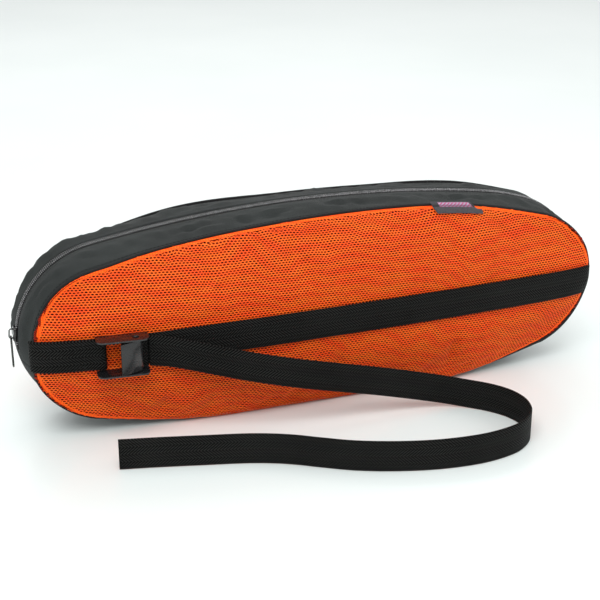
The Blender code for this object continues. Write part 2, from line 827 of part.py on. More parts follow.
def build_lever(seat):
    """The cam lever: a thumb plate that bends over the pin into a toothed jaw, with an ear at each side."""
    hinge = bpy.data.objects.new("lever_hinge", None)
    hinge.parent = seat
    hinge.location = (PIN_ALONG, -PIN_RISE, 0)
    bpy.context.scene.collection.objects.link(hinge)
    half = STRAP_WIDTH / 2 + SIDE_CLEAR - LEVER_CLEAR
    slope = Vector((-math.cos(LEVER_ANGLE), -math.sin(LEVER_ANGLE)))
    outward = Vector((math.sin(LEVER_ANGLE), -math.cos(LEVER_ANGLE)))
    under = outward * LEVER_BORE
    over = outward * (LEVER_BORE + LEVER_THICK)
    jaw_tip = PIN_RISE - PLATE_THICK / 2 - 2 * GAP - STRAP_THICK
    tip_x = LEVER_BORE + LEVER_THICK * 0.55

    def profile(bite):
        return [
            under + slope * LEVER_LENGTH,
            over + slope * (LEVER_LENGTH + 0.0004),
            over + slope * LEVER_LENGTH * 0.5,
            over - slope * 0.0002,
            Vector((LEVER_BORE + LEVER_THICK, -0.0016)),
            Vector((tip_x + 0.0004, jaw_tip - bite)),
            Vector((tip_x - 0.0006, jaw_tip - bite)),
            Vector((LEVER_BORE, 0.0)),
            Vector((LEVER_BORE * 0.86, -LEVER_BORE * 0.62)),
            under,
        ]

    bm = bmesh.new()
    rings = []
    for i in range(2 * LEVER_TEETH + 1):
        z = half * (i / LEVER_TEETH - 1)
        bite = LEVER_TOOTH if i % 2 == 0 else 0.0
        rings.append([(p.x, p.y, z) for p in profile(bite)])
    loft(bm, rings, closed=False)
    lever = add_object("cam_lever", bm, BLACK_STEEL, smooth=False)
    lever.parent = hinge
    middle = LEVER_BORE + LEVER_THICK / 2
    ear = [
        outward * middle + slope * LEVER_LENGTH * 0.42,
        outward * middle,
        Vector((middle, -LEVER_THICK)),
        Vector((middle, LEVER_THICK / 2)),
    ]
    for degrees in (35, 65, 95, 125, 155, 180):
        angle = math.radians(degrees)
        ear.append(Vector((math.cos(angle), math.sin(angle))) * EAR_RADIUS)
    ears = []
    for number, low in enumerate((-half, half - EAR_THICK)):
        bm = bmesh.new()
        loft(bm, [[(p.x, p.y, z) for p in ear] for z in (low, low + EAR_THICK)], closed=False)
        side = add_object("lever_ear_" + str(number), bm, BLACK_STEEL, smooth=False)
        side.parent = hinge
        ears.append(side)
    join(lever, ears)
    bore = rod("lever_bore", PIN_RADIUS + PIN_CLEAR, -2 * half, 2 * half, (0, 0), BLACK_STEEL, hinge)
    cut(lever, [bore])
    return lever


def build_spring(seat):
    """The torsion spring round the pin, with one leg towards the thumb plate and one over the strap."""
    per_turn = 10
    rise = 2.6 * SPRING_WIRE
    count = int((SPRING_TURNS + 0.5) * per_turn)
    line = []
    for i in range(count + 1):
        angle = -QUARTER_TURN + 2 * HALF_TURN * i / per_turn
        z = rise * (i / per_turn - SPRING_TURNS / 2)
        line.append((SPRING_RADIUS * math.cos(angle), SPRING_RADIUS * math.sin(angle), z))
    first, last = line[0], line[-1]
    line.insert(0, (first[0] - SPRING_LEG, first[1] + SPRING_LEG_TILT, first[2]))
    line.append((last[0] - SPRING_LEG, last[1], last[2]))
    curve = bpy.data.curves.new("cam_spring", "CURVE")
    curve.dimensions = "3D"
    spline = curve.splines.new("POLY")
    spline.points.add(len(line) - 1)
    for target, point in zip(spline.points, line):
        target.co = (*point, 1)
    curve.bevel_depth = SPRING_WIRE
    curve.bevel_resolution = 1
    curve.use_fill_caps = True
    spring = bpy.data.objects.new("cam_spring", curve)
    spring.parent = seat
    spring.location = (PIN_ALONG, -PIN_RISE, 0)
    bpy.context.scene.collection.objects.link(spring)
    give_material(spring, BRIGHT_METAL)
    return spring


def build_label():
    """The folded label that is caught in the top front seam and lies on the panel."""
    bm = bmesh.new()
    middle_x = LENGTH / 2 - LABEL_INSET
    centre = Vector((0, 0, HEIGHT - TOP_RADIUS))
    middle = Vector((0, 0, END_HEIGHT))
    columns = 4
    rows = 4
    base = GAP + STRAP_CLEAR
    rings = []
    for i in range(columns + 1):
        x = middle_x + LABEL_WIDTH * (i / columns - 0.5)
        seam = Vector((x, 0, centre.z + math.sqrt(TOP_RADIUS**2 - x * x)))
        ring = []
        for clear, order in ((base + LABEL_THICK, range(rows + 1)), (base, range(rows, -1, -1))):
            for k in order:
                angle = math.radians(2) + LABEL_DROP * k / rows
                out = (seam - middle).normalized() * clear
                point = middle + (seam - middle) * math.cos(angle) + out * math.cos(angle)
                y = -(PANEL_RIM + (DOME + clear) * math.sin(angle))
                ring.append(Vector((x, y, point.z)))
        rings.append(ring)
    loft(bm, rings, closed=False)
    return add_object("side_label", bm, GREY_LABEL)


def build_bag():
    for name, side in (("front", -1), ("rear", 1)):
        build_panel(name + "_mesh_panel", side)
        build_zip_strip(name + "_zip_strip", side)
        build_zip_tape(name + "_zip_tape", side)
        build_zip_coil(name + "_zip_coil", side)
        build_piping(name + "_piping", side)
        build_binding(name + "_seam_binding", side)
    build_bottom_gusset()
    build_zip_stop("front_zip_stop", True, -CHAIN_EDGE, -COIL_SPLIT)
    build_zip_stop("rear_zip_stop", True, COIL_SPLIT, CHAIN_EDGE)
    build_zip_stop("far_zip_stop", False, -CHAIN_EDGE, CHAIN_EDGE)
    build_zip_end_tab("left_zip_tab", left=True)
    build_zip_end_tab("right_zip_tab", left=False)
    build_label()


def build_slider_and_pull():
    seat = slider_seat()
    _, wing_top = build_slider(seat)
    build_pull(seat, wing_top)


def build_strap_and_buckle():
    seat, to_world = buckle_seat()
    build_buckle_frame(seat)
    build_pin(seat)
    build_lever(seat)
    build_spring(seat)
    build_stub(to_world)
    build_strap_run(to_world)
    build_strap_loop(to_world)
    build_strap_tail()


clear_scene()
build_bag()
build_slider_and_pull()
build_strap_and_buckle()
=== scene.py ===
# %% [markdown]
# A mesh-sided carry bag for snowboard kit stands on a pale floor, closed by a curved zipper.
# The bag's solid parts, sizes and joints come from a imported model, which is loaded first and never moved.
# Everything made below goes round that model, in the same metres and the same frame.

# %% Load the fixed frame
import json
import math

import bmesh
import bpy
import numpy as np
from mathutils import Matrix, Vector, noise
from mathutils.bvhtree import BVHTree

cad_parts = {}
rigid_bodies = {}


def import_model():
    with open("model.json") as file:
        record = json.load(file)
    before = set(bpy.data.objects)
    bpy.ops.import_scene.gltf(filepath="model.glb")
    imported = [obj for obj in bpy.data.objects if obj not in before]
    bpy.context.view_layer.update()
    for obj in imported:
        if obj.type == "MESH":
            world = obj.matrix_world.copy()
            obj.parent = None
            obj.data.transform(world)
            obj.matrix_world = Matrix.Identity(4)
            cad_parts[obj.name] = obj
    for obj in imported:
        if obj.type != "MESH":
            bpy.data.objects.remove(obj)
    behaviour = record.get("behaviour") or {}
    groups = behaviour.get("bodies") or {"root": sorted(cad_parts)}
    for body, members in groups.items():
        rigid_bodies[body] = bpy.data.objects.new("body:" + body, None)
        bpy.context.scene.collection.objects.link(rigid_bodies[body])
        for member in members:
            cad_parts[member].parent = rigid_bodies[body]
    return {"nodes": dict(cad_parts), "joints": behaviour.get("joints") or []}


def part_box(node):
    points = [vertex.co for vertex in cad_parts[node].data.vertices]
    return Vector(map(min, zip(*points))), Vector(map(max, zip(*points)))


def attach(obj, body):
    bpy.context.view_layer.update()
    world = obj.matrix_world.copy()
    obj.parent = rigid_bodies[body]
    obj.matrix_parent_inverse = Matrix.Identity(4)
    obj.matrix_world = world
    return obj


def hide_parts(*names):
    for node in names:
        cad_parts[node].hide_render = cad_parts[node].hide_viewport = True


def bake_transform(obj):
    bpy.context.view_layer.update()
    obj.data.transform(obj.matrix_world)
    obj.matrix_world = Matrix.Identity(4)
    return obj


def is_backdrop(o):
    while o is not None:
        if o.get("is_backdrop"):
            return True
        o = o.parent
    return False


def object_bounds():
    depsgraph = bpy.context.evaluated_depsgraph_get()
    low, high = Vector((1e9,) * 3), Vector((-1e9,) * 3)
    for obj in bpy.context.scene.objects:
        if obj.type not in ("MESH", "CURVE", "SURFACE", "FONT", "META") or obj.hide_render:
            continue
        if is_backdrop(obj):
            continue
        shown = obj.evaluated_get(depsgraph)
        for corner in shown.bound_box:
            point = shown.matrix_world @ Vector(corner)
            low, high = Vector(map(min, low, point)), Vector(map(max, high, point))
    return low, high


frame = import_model()
cad_low, cad_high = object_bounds()
joints = {joint["name"]: joint for joint in frame["joints"]}

# %% [markdown]
# The camera comes first, because every later choice is judged through it.
# A long lens close to the bag keeps its ends from looking stretched. The lens is given in millimetres for
# a sensor 36 mm wide, and the camera is turned towards a point a little above the bag's base.

# %% Camera
CAMERA_PLACE = Vector((-0.3645, -0.9584, 0.4888))
CAMERA_AIM = Vector((-0.0157, 0.0, 0.0767))
LENS_MM = 79.2

scene = bpy.context.scene
camera = bpy.data.objects.new("camera", bpy.data.cameras.new("camera"))
camera.location = CAMERA_PLACE
camera.rotation_euler = (CAMERA_AIM - CAMERA_PLACE).to_track_quat("-Z", "Y").to_euler()
camera.data.lens = LENS_MM
camera.data.sensor_width = 36
scene.collection.objects.link(camera)
scene.camera = camera
scene.view_settings.view_transform = "Standard"
print("camera distance", round((CAMERA_AIM - CAMERA_PLACE).length, 3))

# %% [markdown]
# Both panels are cut to one outline, and the gusset, zipper, piping and stitches all run along it.
# So the outline is written once, as arcs that meet without a corner: shoulder, top, shoulder, heel, flank,
# base, flank and heel. Its main sizes are read from the model: the panel gives length, height and depth,
# and the slider's joint gives the centre of the left shoulder curve.

# %% The seam outline
KEEL = 0.0130
BASE_FLAT = 0.075
ARCH = 0.007

panel_low, panel_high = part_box("rear_mesh_panel")
shoulder_pivot = Vector(joints["slider_travel"]["pos_m"])
HALF_LENGTH = panel_high.x
HEIGHT = panel_high.z
PANEL_RIM = panel_low.y
DOME = panel_high.y - panel_low.y
SEAM_Y = sum(c.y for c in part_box("rear_piping")) / 2
END_HEIGHT = shoulder_pivot.z
SHOULDER_X = -shoulder_pivot.x
SHOULDER_RADIUS = HALF_LENGTH - SHOULDER_X
SHOULDER_TOP = HEIGHT - END_HEIGHT
CROWN = SHOULDER_TOP - SHOULDER_RADIUS
TOP_RADIUS = (SHOULDER_X**2 + SHOULDER_TOP**2 - SHOULDER_RADIUS**2) / (2 * CROWN)
HEEL_RADIUS = END_HEIGHT - KEEL
HEEL_X = HALF_LENGTH - HEEL_RADIUS
FLANK_RUN = HEEL_X - BASE_FLAT
FLANK_RADIUS = (FLANK_RUN**2 + END_HEIGHT**2 - HEEL_RADIUS**2) / (2 * KEEL)
SHOULDER_TURN = math.atan2(TOP_RADIUS - SHOULDER_TOP, SHOULDER_X)
HEEL_TURN = math.atan2(FLANK_RADIUS - END_HEIGHT, FLANK_RUN)
BASE_TURN = 1.5 * math.pi

# Each arc is its centre, radius, first angle and last angle
ARCS = [
    (SHOULDER_X, END_HEIGHT, SHOULDER_RADIUS, 0.0, SHOULDER_TURN),
    (0.0, HEIGHT - TOP_RADIUS, TOP_RADIUS, SHOULDER_TURN, math.pi - SHOULDER_TURN),
    (-SHOULDER_X, END_HEIGHT, SHOULDER_RADIUS, math.pi - SHOULDER_TURN, math.pi),
    (-HEEL_X, END_HEIGHT, HEEL_RADIUS, math.pi, math.pi + HEEL_TURN),
    (-BASE_FLAT, FLANK_RADIUS, FLANK_RADIUS, math.pi + HEEL_TURN, BASE_TURN),
    None,
    (BASE_FLAT, FLANK_RADIUS, FLANK_RADIUS, BASE_TURN, 2 * math.pi - HEEL_TURN),
    (HEEL_X, END_HEIGHT, HEEL_RADIUS, 2 * math.pi - HEEL_TURN, 2 * math.pi),
]


def arc_length(arc):
    return 2 * BASE_FLAT if arc is None else arc[2] * (arc[4] - arc[3])


def seam_at(distance):
    """The point and outward normal at a distance along the outline, from the right end over the top."""
    distance %= PERIMETER
    for arc in ARCS:
        run = arc_length(arc)
        if distance <= run:
            break
        distance -= run
    if arc is None:
        return Vector((distance - BASE_FLAT, 0, 0)), Vector((0, 0, -1))
    angle = arc[3] + distance / arc[2]
    normal = Vector((math.cos(angle), 0, math.sin(angle)))
    return Vector((arc[0], 0, arc[1])) + normal * arc[2], normal


PERIMETER = sum(arc_length(arc) for arc in ARCS)
LEFT_END = sum(arc_length(arc) for arc in ARCS[:3])
print("outline", round(PERIMETER, 3), "m round, top half", round(LEFT_END, 3), "m")

# %% [markdown]
# A soft bag is never quite as regular as its pattern. The strap pulls the right end in, the stuffing pushes
# the rear seam up on the left, and the corners slump. So each seam gets a small shift along its normal,
# listed in millimetres at shares of the way round. The zipper line keeps to the model wherever the slider
# runs. The gusset then swells between its two seams, and is flat where the bag stands.

# %% The gusset's surface
SHARES = [0, 0.02, 0.04, 0.06, 0.08, 0.10, 0.12, 0.14, 0.16, 0.18, 0.20, 0.24, 0.28, 0.30, 0.32, 0.34]
SHARES += [0.36, 0.38, 0.40, 0.42, 0.44, 0.46, 0.48, 0.50, 0.52, 0.54, 0.56, 0.84, 0.86, 0.88, 0.90]
SHARES += [0.92, 0.94, 0.96, 0.98, 1.0]
LOWER_RIGHT = [0, -1, -2.5, -5, -7.5, -9.2, -9.8, -9.4, -6.5]
FRONT_SHIFT = [-6.5, -2.5, -3.2, -3.4, -2.2, -0.4, 1.4, 2.5, 3, 3.1, 2.5, 1.5, 0.5, 0, -0.1, -0.3]
FRONT_SHIFT += [-0.7, -1, -2.2, -4.2, -2.2, -0.8, -2, -2.2, 1.5, 0.5, 0, *LOWER_RIGHT]
REAR_SHIFT = [-5, -4, -2.5, -1.5, -0.5, 1.8, 3.8, 4.4, 3.8, 2.8, 1.7, 1.6, 1.9, 3.3, 4.8, 5.6]
REAR_SHIFT += [5.2, 3.2, 0.6, -1.2, -0.6, 0, 1.2, 2.8, 3.2, 1.2, 0, *LOWER_RIGHT]
ZIP_SHIFT = [-4.5, -3.6, -3, -2.4, -1.4, -0.5, 0] + [0] * 20 + LOWER_RIGHT
SHIFT_BLUR = 0.011
PUFF_START = 0.007


def shift_at(distance, depth_share):
    """How far the gusset is moved along its normal. depth_share runs from -1, front seam, to 1, rear seam."""
    found = []
    for table in (FRONT_SHIFT, ZIP_SHIFT, REAR_SHIFT):
        places = [(distance + SHIFT_BLUR * k / 2) / PERIMETER % 1.0 for k in (-2, -1, 0, 1, 2)]
        found.append(float(np.mean(np.interp(places, SHARES, table))) / 1000)
    front, middle, rear = found
    return middle + (rear - front) / 2 * depth_share + ((rear + front) / 2 - middle) * depth_share**2


def edge_at(distance, side):
    """The point and normal of one panel's seam, with its shift."""
    point, normal = seam_at(distance)
    return point + normal * shift_at(distance, side), normal


def standing(normal):
    """0 on the ends and the top of the outline, 1 on the base, smooth between."""
    share = min(1.0, max(0.0, (-normal.z - 0.25) / 0.72))
    return share * share * (3 - 2 * share)


def crest(distance):
    """The swell of the gusset at the zipper line. It dies away round the right end."""
    share = distance / PERIMETER % 1.0
    grown = min(1.0, max(0.0, (min(share, 1 - share) - 0.035) / 0.08))
    return ARCH * (0.25 + 0.75 * grown * grown * (3 - 2 * grown))


def gusset_point(distance, y, lift=0.0):
    """A point on the gusset at a distance along the outline and a depth y, raised by lift."""
    point, normal = seam_at(distance)
    share = y / SEAM_Y
    rise = crest(distance) * (1 - standing(normal)) * (1 - share * share)
    free = max(0.0, abs(y) - PUFF_START) / (SEAM_Y - PUFF_START)
    near_shoulder = math.exp(-(((distance / PERIMETER - 0.44) / 0.05) ** 2))
    full = (0.0040 if y > 0 else 0.0010) * near_shoulder
    puff = full * math.sin(math.pi * min(1.0, free))
    return point + normal * (rise + puff + shift_at(distance, share) + lift) + Vector((0, y, 0))


def spread(start, end, count):
    """count evenly spaced values, both ends included."""
    return [start + (end - start) * i / (count - 1) for i in range(count)]


print("zipper line is", round(gusset_point(LEFT_END / 2, 0).z, 4), "m above the floor at its top")

# %% [markdown]
# Three small helpers make plain meshes. Each piece ends as one mesh at the origin, with its place in its
# vertices, because patterns count from there. The patch helper also stores a UV map in
# metres, so a weave keeps its real size on any piece.

# %% Mesh helpers


def link(name, mesh, body=None, material=None):
    """A linked object for a finished mesh, riding on a body."""
    piece = bpy.data.objects.new(name, mesh)
    scene.collection.objects.link(piece)
    if material:
        mesh.materials.clear()
        mesh.materials.append(material)
    if body:
        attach(piece, body)
    return piece


def skin(name, rings, closed_ring=False, closed_run=False, caps=False, uv=None):
    """A smooth mesh through rings of points. uv gives metres along and across for ring i, point j."""
    bm = bmesh.new()
    layer = bm.loops.layers.uv.new("cloth")
    grid = [[bm.verts.new(point) for point in ring] for ring in rings]
    count = len(rings[0])
    last = len(rings)
    for i in range(last if closed_run else last - 1):
        for j in range(count if closed_ring else count - 1):
            k = (i + 1) % last
            m = (j + 1) % count
            face = bm.faces.new((grid[i][j], grid[k][j], grid[k][m], grid[i][m]))
            if uv:
                corners = ((i, j), (i + 1, j), (i + 1, j + 1), (i, j + 1))
                for loop, corner in zip(face.loops, corners):
                    loop[layer].uv = uv(*corner)
    if caps:
        bm.faces.new(grid[0])
        bm.faces.new(reversed(grid[-1]))
    if caps or (closed_ring and closed_run):
        bmesh.ops.recalc_face_normals(bm, faces=bm.faces)
    mesh = bpy.data.meshes.new(name)
    bm.to_mesh(mesh)
    bm.free()
    mesh.shade_smooth()
    return mesh


def finished(piece):
    """Turns a piece with modifiers into a plain mesh with none."""
    evaluated = piece.evaluated_get(bpy.context.evaluated_depsgraph_get())
    mesh = bpy.data.meshes.new_from_object(evaluated)
    piece.modifiers.clear()
    old = piece.data
    piece.data = mesh
    mesh.name = piece.name
    bpy.data.meshes.remove(old)
    return piece


def face_outwards(mesh, inside):
    """Turns the faces of an open sheet away from a point inside the bag."""
    bm = bmesh.new()
    bm.from_mesh(mesh)
    bmesh.ops.recalc_face_normals(bm, faces=bm.faces)
    bm.faces.ensure_lookup_table()
    votes = sum(1 if (f.calc_center_median() - inside).dot(f.normal) > 0 else -1 for f in bm.faces)
    if votes < 0:
        bmesh.ops.reverse_faces(bm, faces=bm.faces)
    bm.to_mesh(mesh)
    bm.free()
    return mesh


BAG_CENTRE = Vector((0, 0, END_HEIGHT))
print("mesh helpers ready")

# %% [markdown]
# Materials are built from shader nodes. A tiny wrapper keeps each recipe readable: it holds one material's
# node tree, and its methods add the few kinds of node that the recipes use.

# %% Material helper


class Recipe:
    """A material with a Principled shader and short ways to add nodes."""

    def __init__(self, name, **constants):
        self.material = bpy.data.materials.new(name)
        self.material.use_nodes = True
        self.nodes = self.material.node_tree.nodes
        self.links = self.material.node_tree.links
        self.shader = self.nodes["Principled BSDF"]
        for socket, value in constants.items():
            self.shader.inputs[socket.replace("_", " ")].default_value = value

    def feed(self, socket, value):
        """Joins another node's output to a socket, or sets the socket to a plain value."""
        if isinstance(value, bpy.types.NodeSocket):
            self.links.new(value, socket)
        elif value is not None:
            socket.default_value = value

    def math(self, operation, a, b=None, c=None):
        node = self.nodes.new("ShaderNodeMath")
        node.operation = operation
        for socket, value in zip(node.inputs, (a, b, c)):
            self.feed(socket, value)
        return node.outputs[0]

    def coordinates(self, kind):
        """A coordinate vector and its three parts."""
        source = self.nodes.new("ShaderNodeTexCoord").outputs[kind]
        split = self.nodes.new("ShaderNodeSeparateXYZ")
        self.links.new(source, split.inputs[0])
        return source, split.outputs[0], split.outputs[1], split.outputs[2]

    def noise(self, vector, scale, detail=3.0, roughness=0.5):
        node = self.nodes.new("ShaderNodeTexNoise")
        node.inputs["Scale"].default_value = scale
        node.inputs["Detail"].default_value = detail
        node.inputs["Roughness"].default_value = roughness
        self.feed(node.inputs["Vector"], vector)
        return node.outputs["Fac"]

    def ramp(self, factor, low, high, dark, light):
        """Maps factor from low..high to a blend of two colours."""
        node = self.nodes.new("ShaderNodeValToRGB")
        node.color_ramp.elements[0].position = low
        node.color_ramp.elements[1].position = high
        node.color_ramp.elements[0].color = (*dark, 1)
        node.color_ramp.elements[1].color = (*light, 1)
        self.feed(node.inputs[0], factor)
        return node.outputs[0]

    def span(self, factor, low, high):
        """Maps a 0 to 1 factor to low..high."""
        node = self.nodes.new("ShaderNodeMapRange")
        node.inputs["To Min"].default_value = low
        node.inputs["To Max"].default_value = high
        self.feed(node.inputs["Value"], factor)
        return node.outputs[0]

    def bump(self, height, distance, strength=1.0, after=None):
        node = self.nodes.new("ShaderNodeBump")
        node.inputs["Distance"].default_value = distance
        node.inputs["Strength"].default_value = strength
        self.feed(node.inputs["Height"], height)
        self.feed(node.inputs["Normal"], after)
        return node.outputs[0]

    def colour(self, value):
        self.feed(self.shader.inputs["Base Color"], value)

    def roughness(self, value):
        self.feed(self.shader.inputs["Roughness"], value)

    def normal(self, value):
        self.feed(self.shader.inputs["Normal"], value)

    def wave(self, coordinate, pitch, phase=None):
        """A sine of a coordinate in metres, from 0 to 1, once every pitch."""
        turns = self.math("MULTIPLY", coordinate, 2 * math.pi / pitch)
        if phase is not None:
            turns = self.math("ADD", turns, phase)
        return self.math("MULTIPLY_ADD", self.math("SINE", turns), 0.5, 0.5)


print("recipe class ready")

# %% [markdown]
# Polyester webbing is woven tightly, with ribs across it and a zigzag of warp threads along it.
# The zigzag is a sine along the strap whose phase swings back and forth across the width. Raised threads
# catch a little more light, so the same height drives colour, roughness and bump.

# %% Webbing material
WEBBING_WIDTH = 0.025
RIB_PITCH = 0.0025
ZIGZAG_WIDTH = 0.0062


def webbing_material():
    r = Recipe("black_webbing", Specular_IOR_Level=0.06, Sheen_Weight=0.0, Sheen_Roughness=0.4)
    _, along, across, _ = r.coordinates("UV")
    zigzag = r.math("PINGPONG", across, ZIGZAG_WIDTH)
    phase = r.math("MULTIPLY", zigzag, 2 * math.pi / (RIB_PITCH * 0.9))
    twill = r.wave(along, RIB_PITCH, phase)
    ridges = r.wave(across, ZIGZAG_WIDTH / 2)
    height = r.math("ADD", r.math("MULTIPLY", twill, 0.75), r.math("MULTIPLY", ridges, 0.25))
    source, _, _, _ = r.coordinates("Object")
    fuzz = r.noise(source, 2600, 2)
    worn = r.noise(source, 24, 4)
    height = r.math("ADD", height, r.math("MULTIPLY", fuzz, 0.35))
    shade = r.math("MULTIPLY", height, r.span(worn, 0.75, 1.2))
    r.colour(r.ramp(shade, 0.5, 1.1, (0.0003, 0.0003, 0.0003), (0.0250, 0.0255, 0.0240)))
    r.roughness(r.span(height, 0.7, 0.5))
    r.normal(r.bump(height, 0.0007))
    return r.material


WEBBING = webbing_material()
print("material", WEBBING.name)

# %% [markdown]
# The strap's free tail is a flat cord. Its length is fixed, and it stands on its edge on the floor, because
# stiff webbing keeps the upright set that the buckle gives it. Its route is a list of chosen points, read
# through a smooth curve, and the ribbon is swept along it with the width kept upright.

# %% The webbing sweep
STRAP_THICK = 0.0016
SELVEDGE = 0.0006

TAIL_ROUTE = [
    (-0.1582, -0.0546, 0.0755),
    (-0.1420, -0.0585, 0.0735),
    (-0.1150, -0.0660, 0.0668),
    (-0.0850, -0.0725, 0.0585),
    (-0.0500, -0.0780, 0.0498),
    (-0.0150, -0.0795, 0.0410),
    (0.0200, -0.0800, 0.0322),
    (0.0520, -0.0810, 0.0236),
    (0.0780, -0.0835, 0.0168),
    (0.0960, -0.0905, 0.0134),
    (0.1110, -0.1035, 0.0129),
    (0.1210, -0.1190, 0.0129),
    (0.1245, -0.1370, 0.0129),
    (0.1195, -0.1550, 0.0129),
    (0.1070, -0.1680, 0.0129),
    (0.0900, -0.1755, 0.0129),
    (0.0640, -0.1790, 0.0129),
    (0.0310, -0.1760, 0.0129),
    (-0.0010, -0.1675, 0.0129),
    (-0.0290, -0.1560, 0.0129),
    (-0.0510, -0.1430, 0.0129),
    (-0.0720, -0.1300, 0.0129),
    (-0.0980, -0.1190, 0.0129),
    (-0.1350, -0.1090, 0.0129),
    (-0.1660, -0.1010, 0.0129),
    (-0.1940, -0.0945, 0.0129),
]


def smooth_line(points, per_span):
    """A Catmull-Rom curve through points, read at per_span places in each span."""
    points = [Vector(p) for p in points]
    last = len(points) - 1
    found = []
    for i in range(last):
        a, b, c, d = (points[max(0, min(last, i + k))] for k in (-1, 0, 1, 2))
        for k in range(per_span):
            t = k / per_span
            cubic = (3 * b - a - 3 * c + d) * t**3
            found.append(0.5 * (2 * b + (c - a) * t + (2 * a - 5 * b + 4 * c - d) * t * t + cubic))
    found.append(points[-1])
    return found


def line_length(line):
    return sum((b - a).length for a, b in zip(line, line[1:]))


def ribbon(name, line, width=WEBBING_WIDTH, thick=STRAP_THICK, across=8):
    """Flat webbing with soft selvedges. Its width stands upright on a line of points."""
    half = width / 2
    flat = spread(-half + SELVEDGE, half - SELVEDGE, across)
    profile = [(z, -thick / 2) for z in flat] + [(half, -thick * 0.25), (half, thick * 0.25)]
    profile += [(z, thick / 2) for z in reversed(flat)] + [(-half, thick * 0.25), (-half, -thick * 0.25)]
    reach = [0.0]
    for a, b in zip(line, line[1:]):
        reach.append(reach[-1] + (b - a).length)
    rings = []
    for i, point in enumerate(line):
        along = line[min(i + 1, len(line) - 1)] - line[max(i - 1, 0)]
        side = Vector((-along.y, along.x, 0)).normalized()
        rings.append([point + Vector((0, 0, z)) + side * depth for z, depth in profile])
    heights = [z for z, _ in profile] + [profile[0][0]]
    uv = lambda i, j: (reach[i], heights[j] + half)
    return skin(name, rings, closed_ring=True, caps=True, uv=uv)


tail_line = smooth_line(TAIL_ROUTE, 6)
tail_mesh = ribbon("strap_tail_webbing", tail_line)
strap_tail = link("strap_tail_webbing", tail_mesh, "buckle", WEBBING)
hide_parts("strap_tail")
print("tail length", round(line_length(tail_line), 3), "m")

# %% [markdown]
# The strap starts at the right end seam, lies over the front panel and dives behind the buckle's plate.
# Inside the buckle it wraps the plate's edge and comes back under the cam, and a short stub, folded round
# the anchor bar, ties the buckle to the left seam. The buckle's place and turn come from its two joints.

# %% Strap pieces on the bag
STRAP_CLEAR = 0.0006
STRAP_LIFT = 0.0030
END_PULL = 1.6
FOLD_GAP = 0.0003
PLATE_THICK = 0.0012
FRAME_LENGTH = 0.0400
FRAME_TAIL = 0.0050
ANCHOR_BAR = 0.0024
WRAP_EDGE = 0.0170
PIN_ALONG = 0.0254
PIN_RISE = 0.0058
STRAP_LEVEL = PLATE_THICK / 2 + FOLD_GAP + STRAP_THICK / 2

anchor = Vector(joints["buckle_swing"]["pos_m"])
pin = Vector(joints["lever_press"]["pos_m"])
to_pin = pin - anchor
buckle_turn = math.atan2(to_pin.y, to_pin.x) - math.atan2(-PIN_RISE, PIN_ALONG)
in_buckle = Matrix.Translation(anchor) @ Matrix.Rotation(buckle_turn, 4, "Z")


class Outline:
    """One panel's seam outline: its reach from the bag's centre by angle, and its height by x."""

    def __init__(self, side):
        points = [edge_at(PERIMETER * i / 1200, side)[0] for i in range(1200)]
        angles = np.array([math.atan2(p.z - END_HEIGHT, p.x) for p in points])
        order = np.argsort(angles)
        self.angles = angles[order]
        self.reaches = np.array([(p - BAG_CENTRE).length for p in points])[order]
        xs = np.array([p.x for p in points])
        zs = np.array([p.z for p in points])
        self.xs, self.zs = xs, zs
        right, left = int(np.argmax(xs)), int(np.argmin(xs))
        over = np.arange(right, left + (1200 if left < right else 0) + 1) % 1200
        under = np.arange(left, right + (1200 if right < left else 0) + 1) % 1200
        self.upper = (np.minimum.accumulate(xs[over])[::-1], zs[over][::-1])
        self.lower = (np.maximum.accumulate(xs[under]), zs[under])
        self.left, self.right = Vector((xs[left], 0, zs[left])), Vector((xs[right], 0, zs[right]))

    def reach(self, angle):
        return float(np.interp(angle, self.angles, self.reaches, period=2 * math.pi))

    def end_x(self, z):
        """How far right the outline reaches at height z, near its right end."""
        near = self.xs > HALF_LENGTH - 0.06
        order = np.argsort(self.zs[near])
        return float(np.interp(z, self.zs[near][order], self.xs[near][order]))

    def heights(self, x):
        """The lowest and highest z at x."""
        return float(np.interp(x, *self.lower)), float(np.interp(x, *self.upper))


OUTLINES = {side: Outline(side) for side in (-1, 1)}


def smoothstep(value, low, high):
    share = min(1.0, max(0.0, (value - low) / (high - low)))
    return share * share * (3 - 2 * share)


def over_panel(angle, clear, height=END_HEIGHT, pulled=0.0):
    """A point clear in front of the front panel at strap height. The angle is 0 at the bag's right end."""
    reach = HALF_LENGTH + pulled
    point = Vector((reach * math.cos(angle), -PANEL_RIM - DOME * math.sin(angle), height))
    outward = Vector((math.cos(angle) / reach, -math.sin(angle) / DOME, 0)).normalized()
    return point + outward * clear


def panel_angle(x):
    return math.acos(max(-1.0, min(1.0, x / HALF_LENGTH)))


def half_turn(centre_x, radius, steps):
    """Points round the right-hand end of a fold, from the bag's side to the outer side."""
    turns = [math.pi / 2 - math.pi * i / steps for i in range(steps + 1)]
    return [in_buckle @ Vector((centre_x + radius * math.cos(a), radius * math.sin(a), 0)) for a in turns]


def run_line():
    last = panel_angle((in_buckle @ Vector((FRAME_LENGTH - FRAME_TAIL + FOLD_GAP, STRAP_LEVEL, 0))).x)
    shares = [0, 0.012, 0.025, 0.04, 0.06, 0.08, 0.1, 0.125] + spread(0.15, 1.0, 60)
    clear = STRAP_CLEAR + STRAP_THICK / 2
    line = []
    for t in shares:
        pulled = shift_at(0, -1) * max(0.0, math.cos(last * t)) ** 2
        line.append(over_panel(last * t, clear, END_HEIGHT + STRAP_LIFT * 4 * t * (1 - t), pulled))
    return line


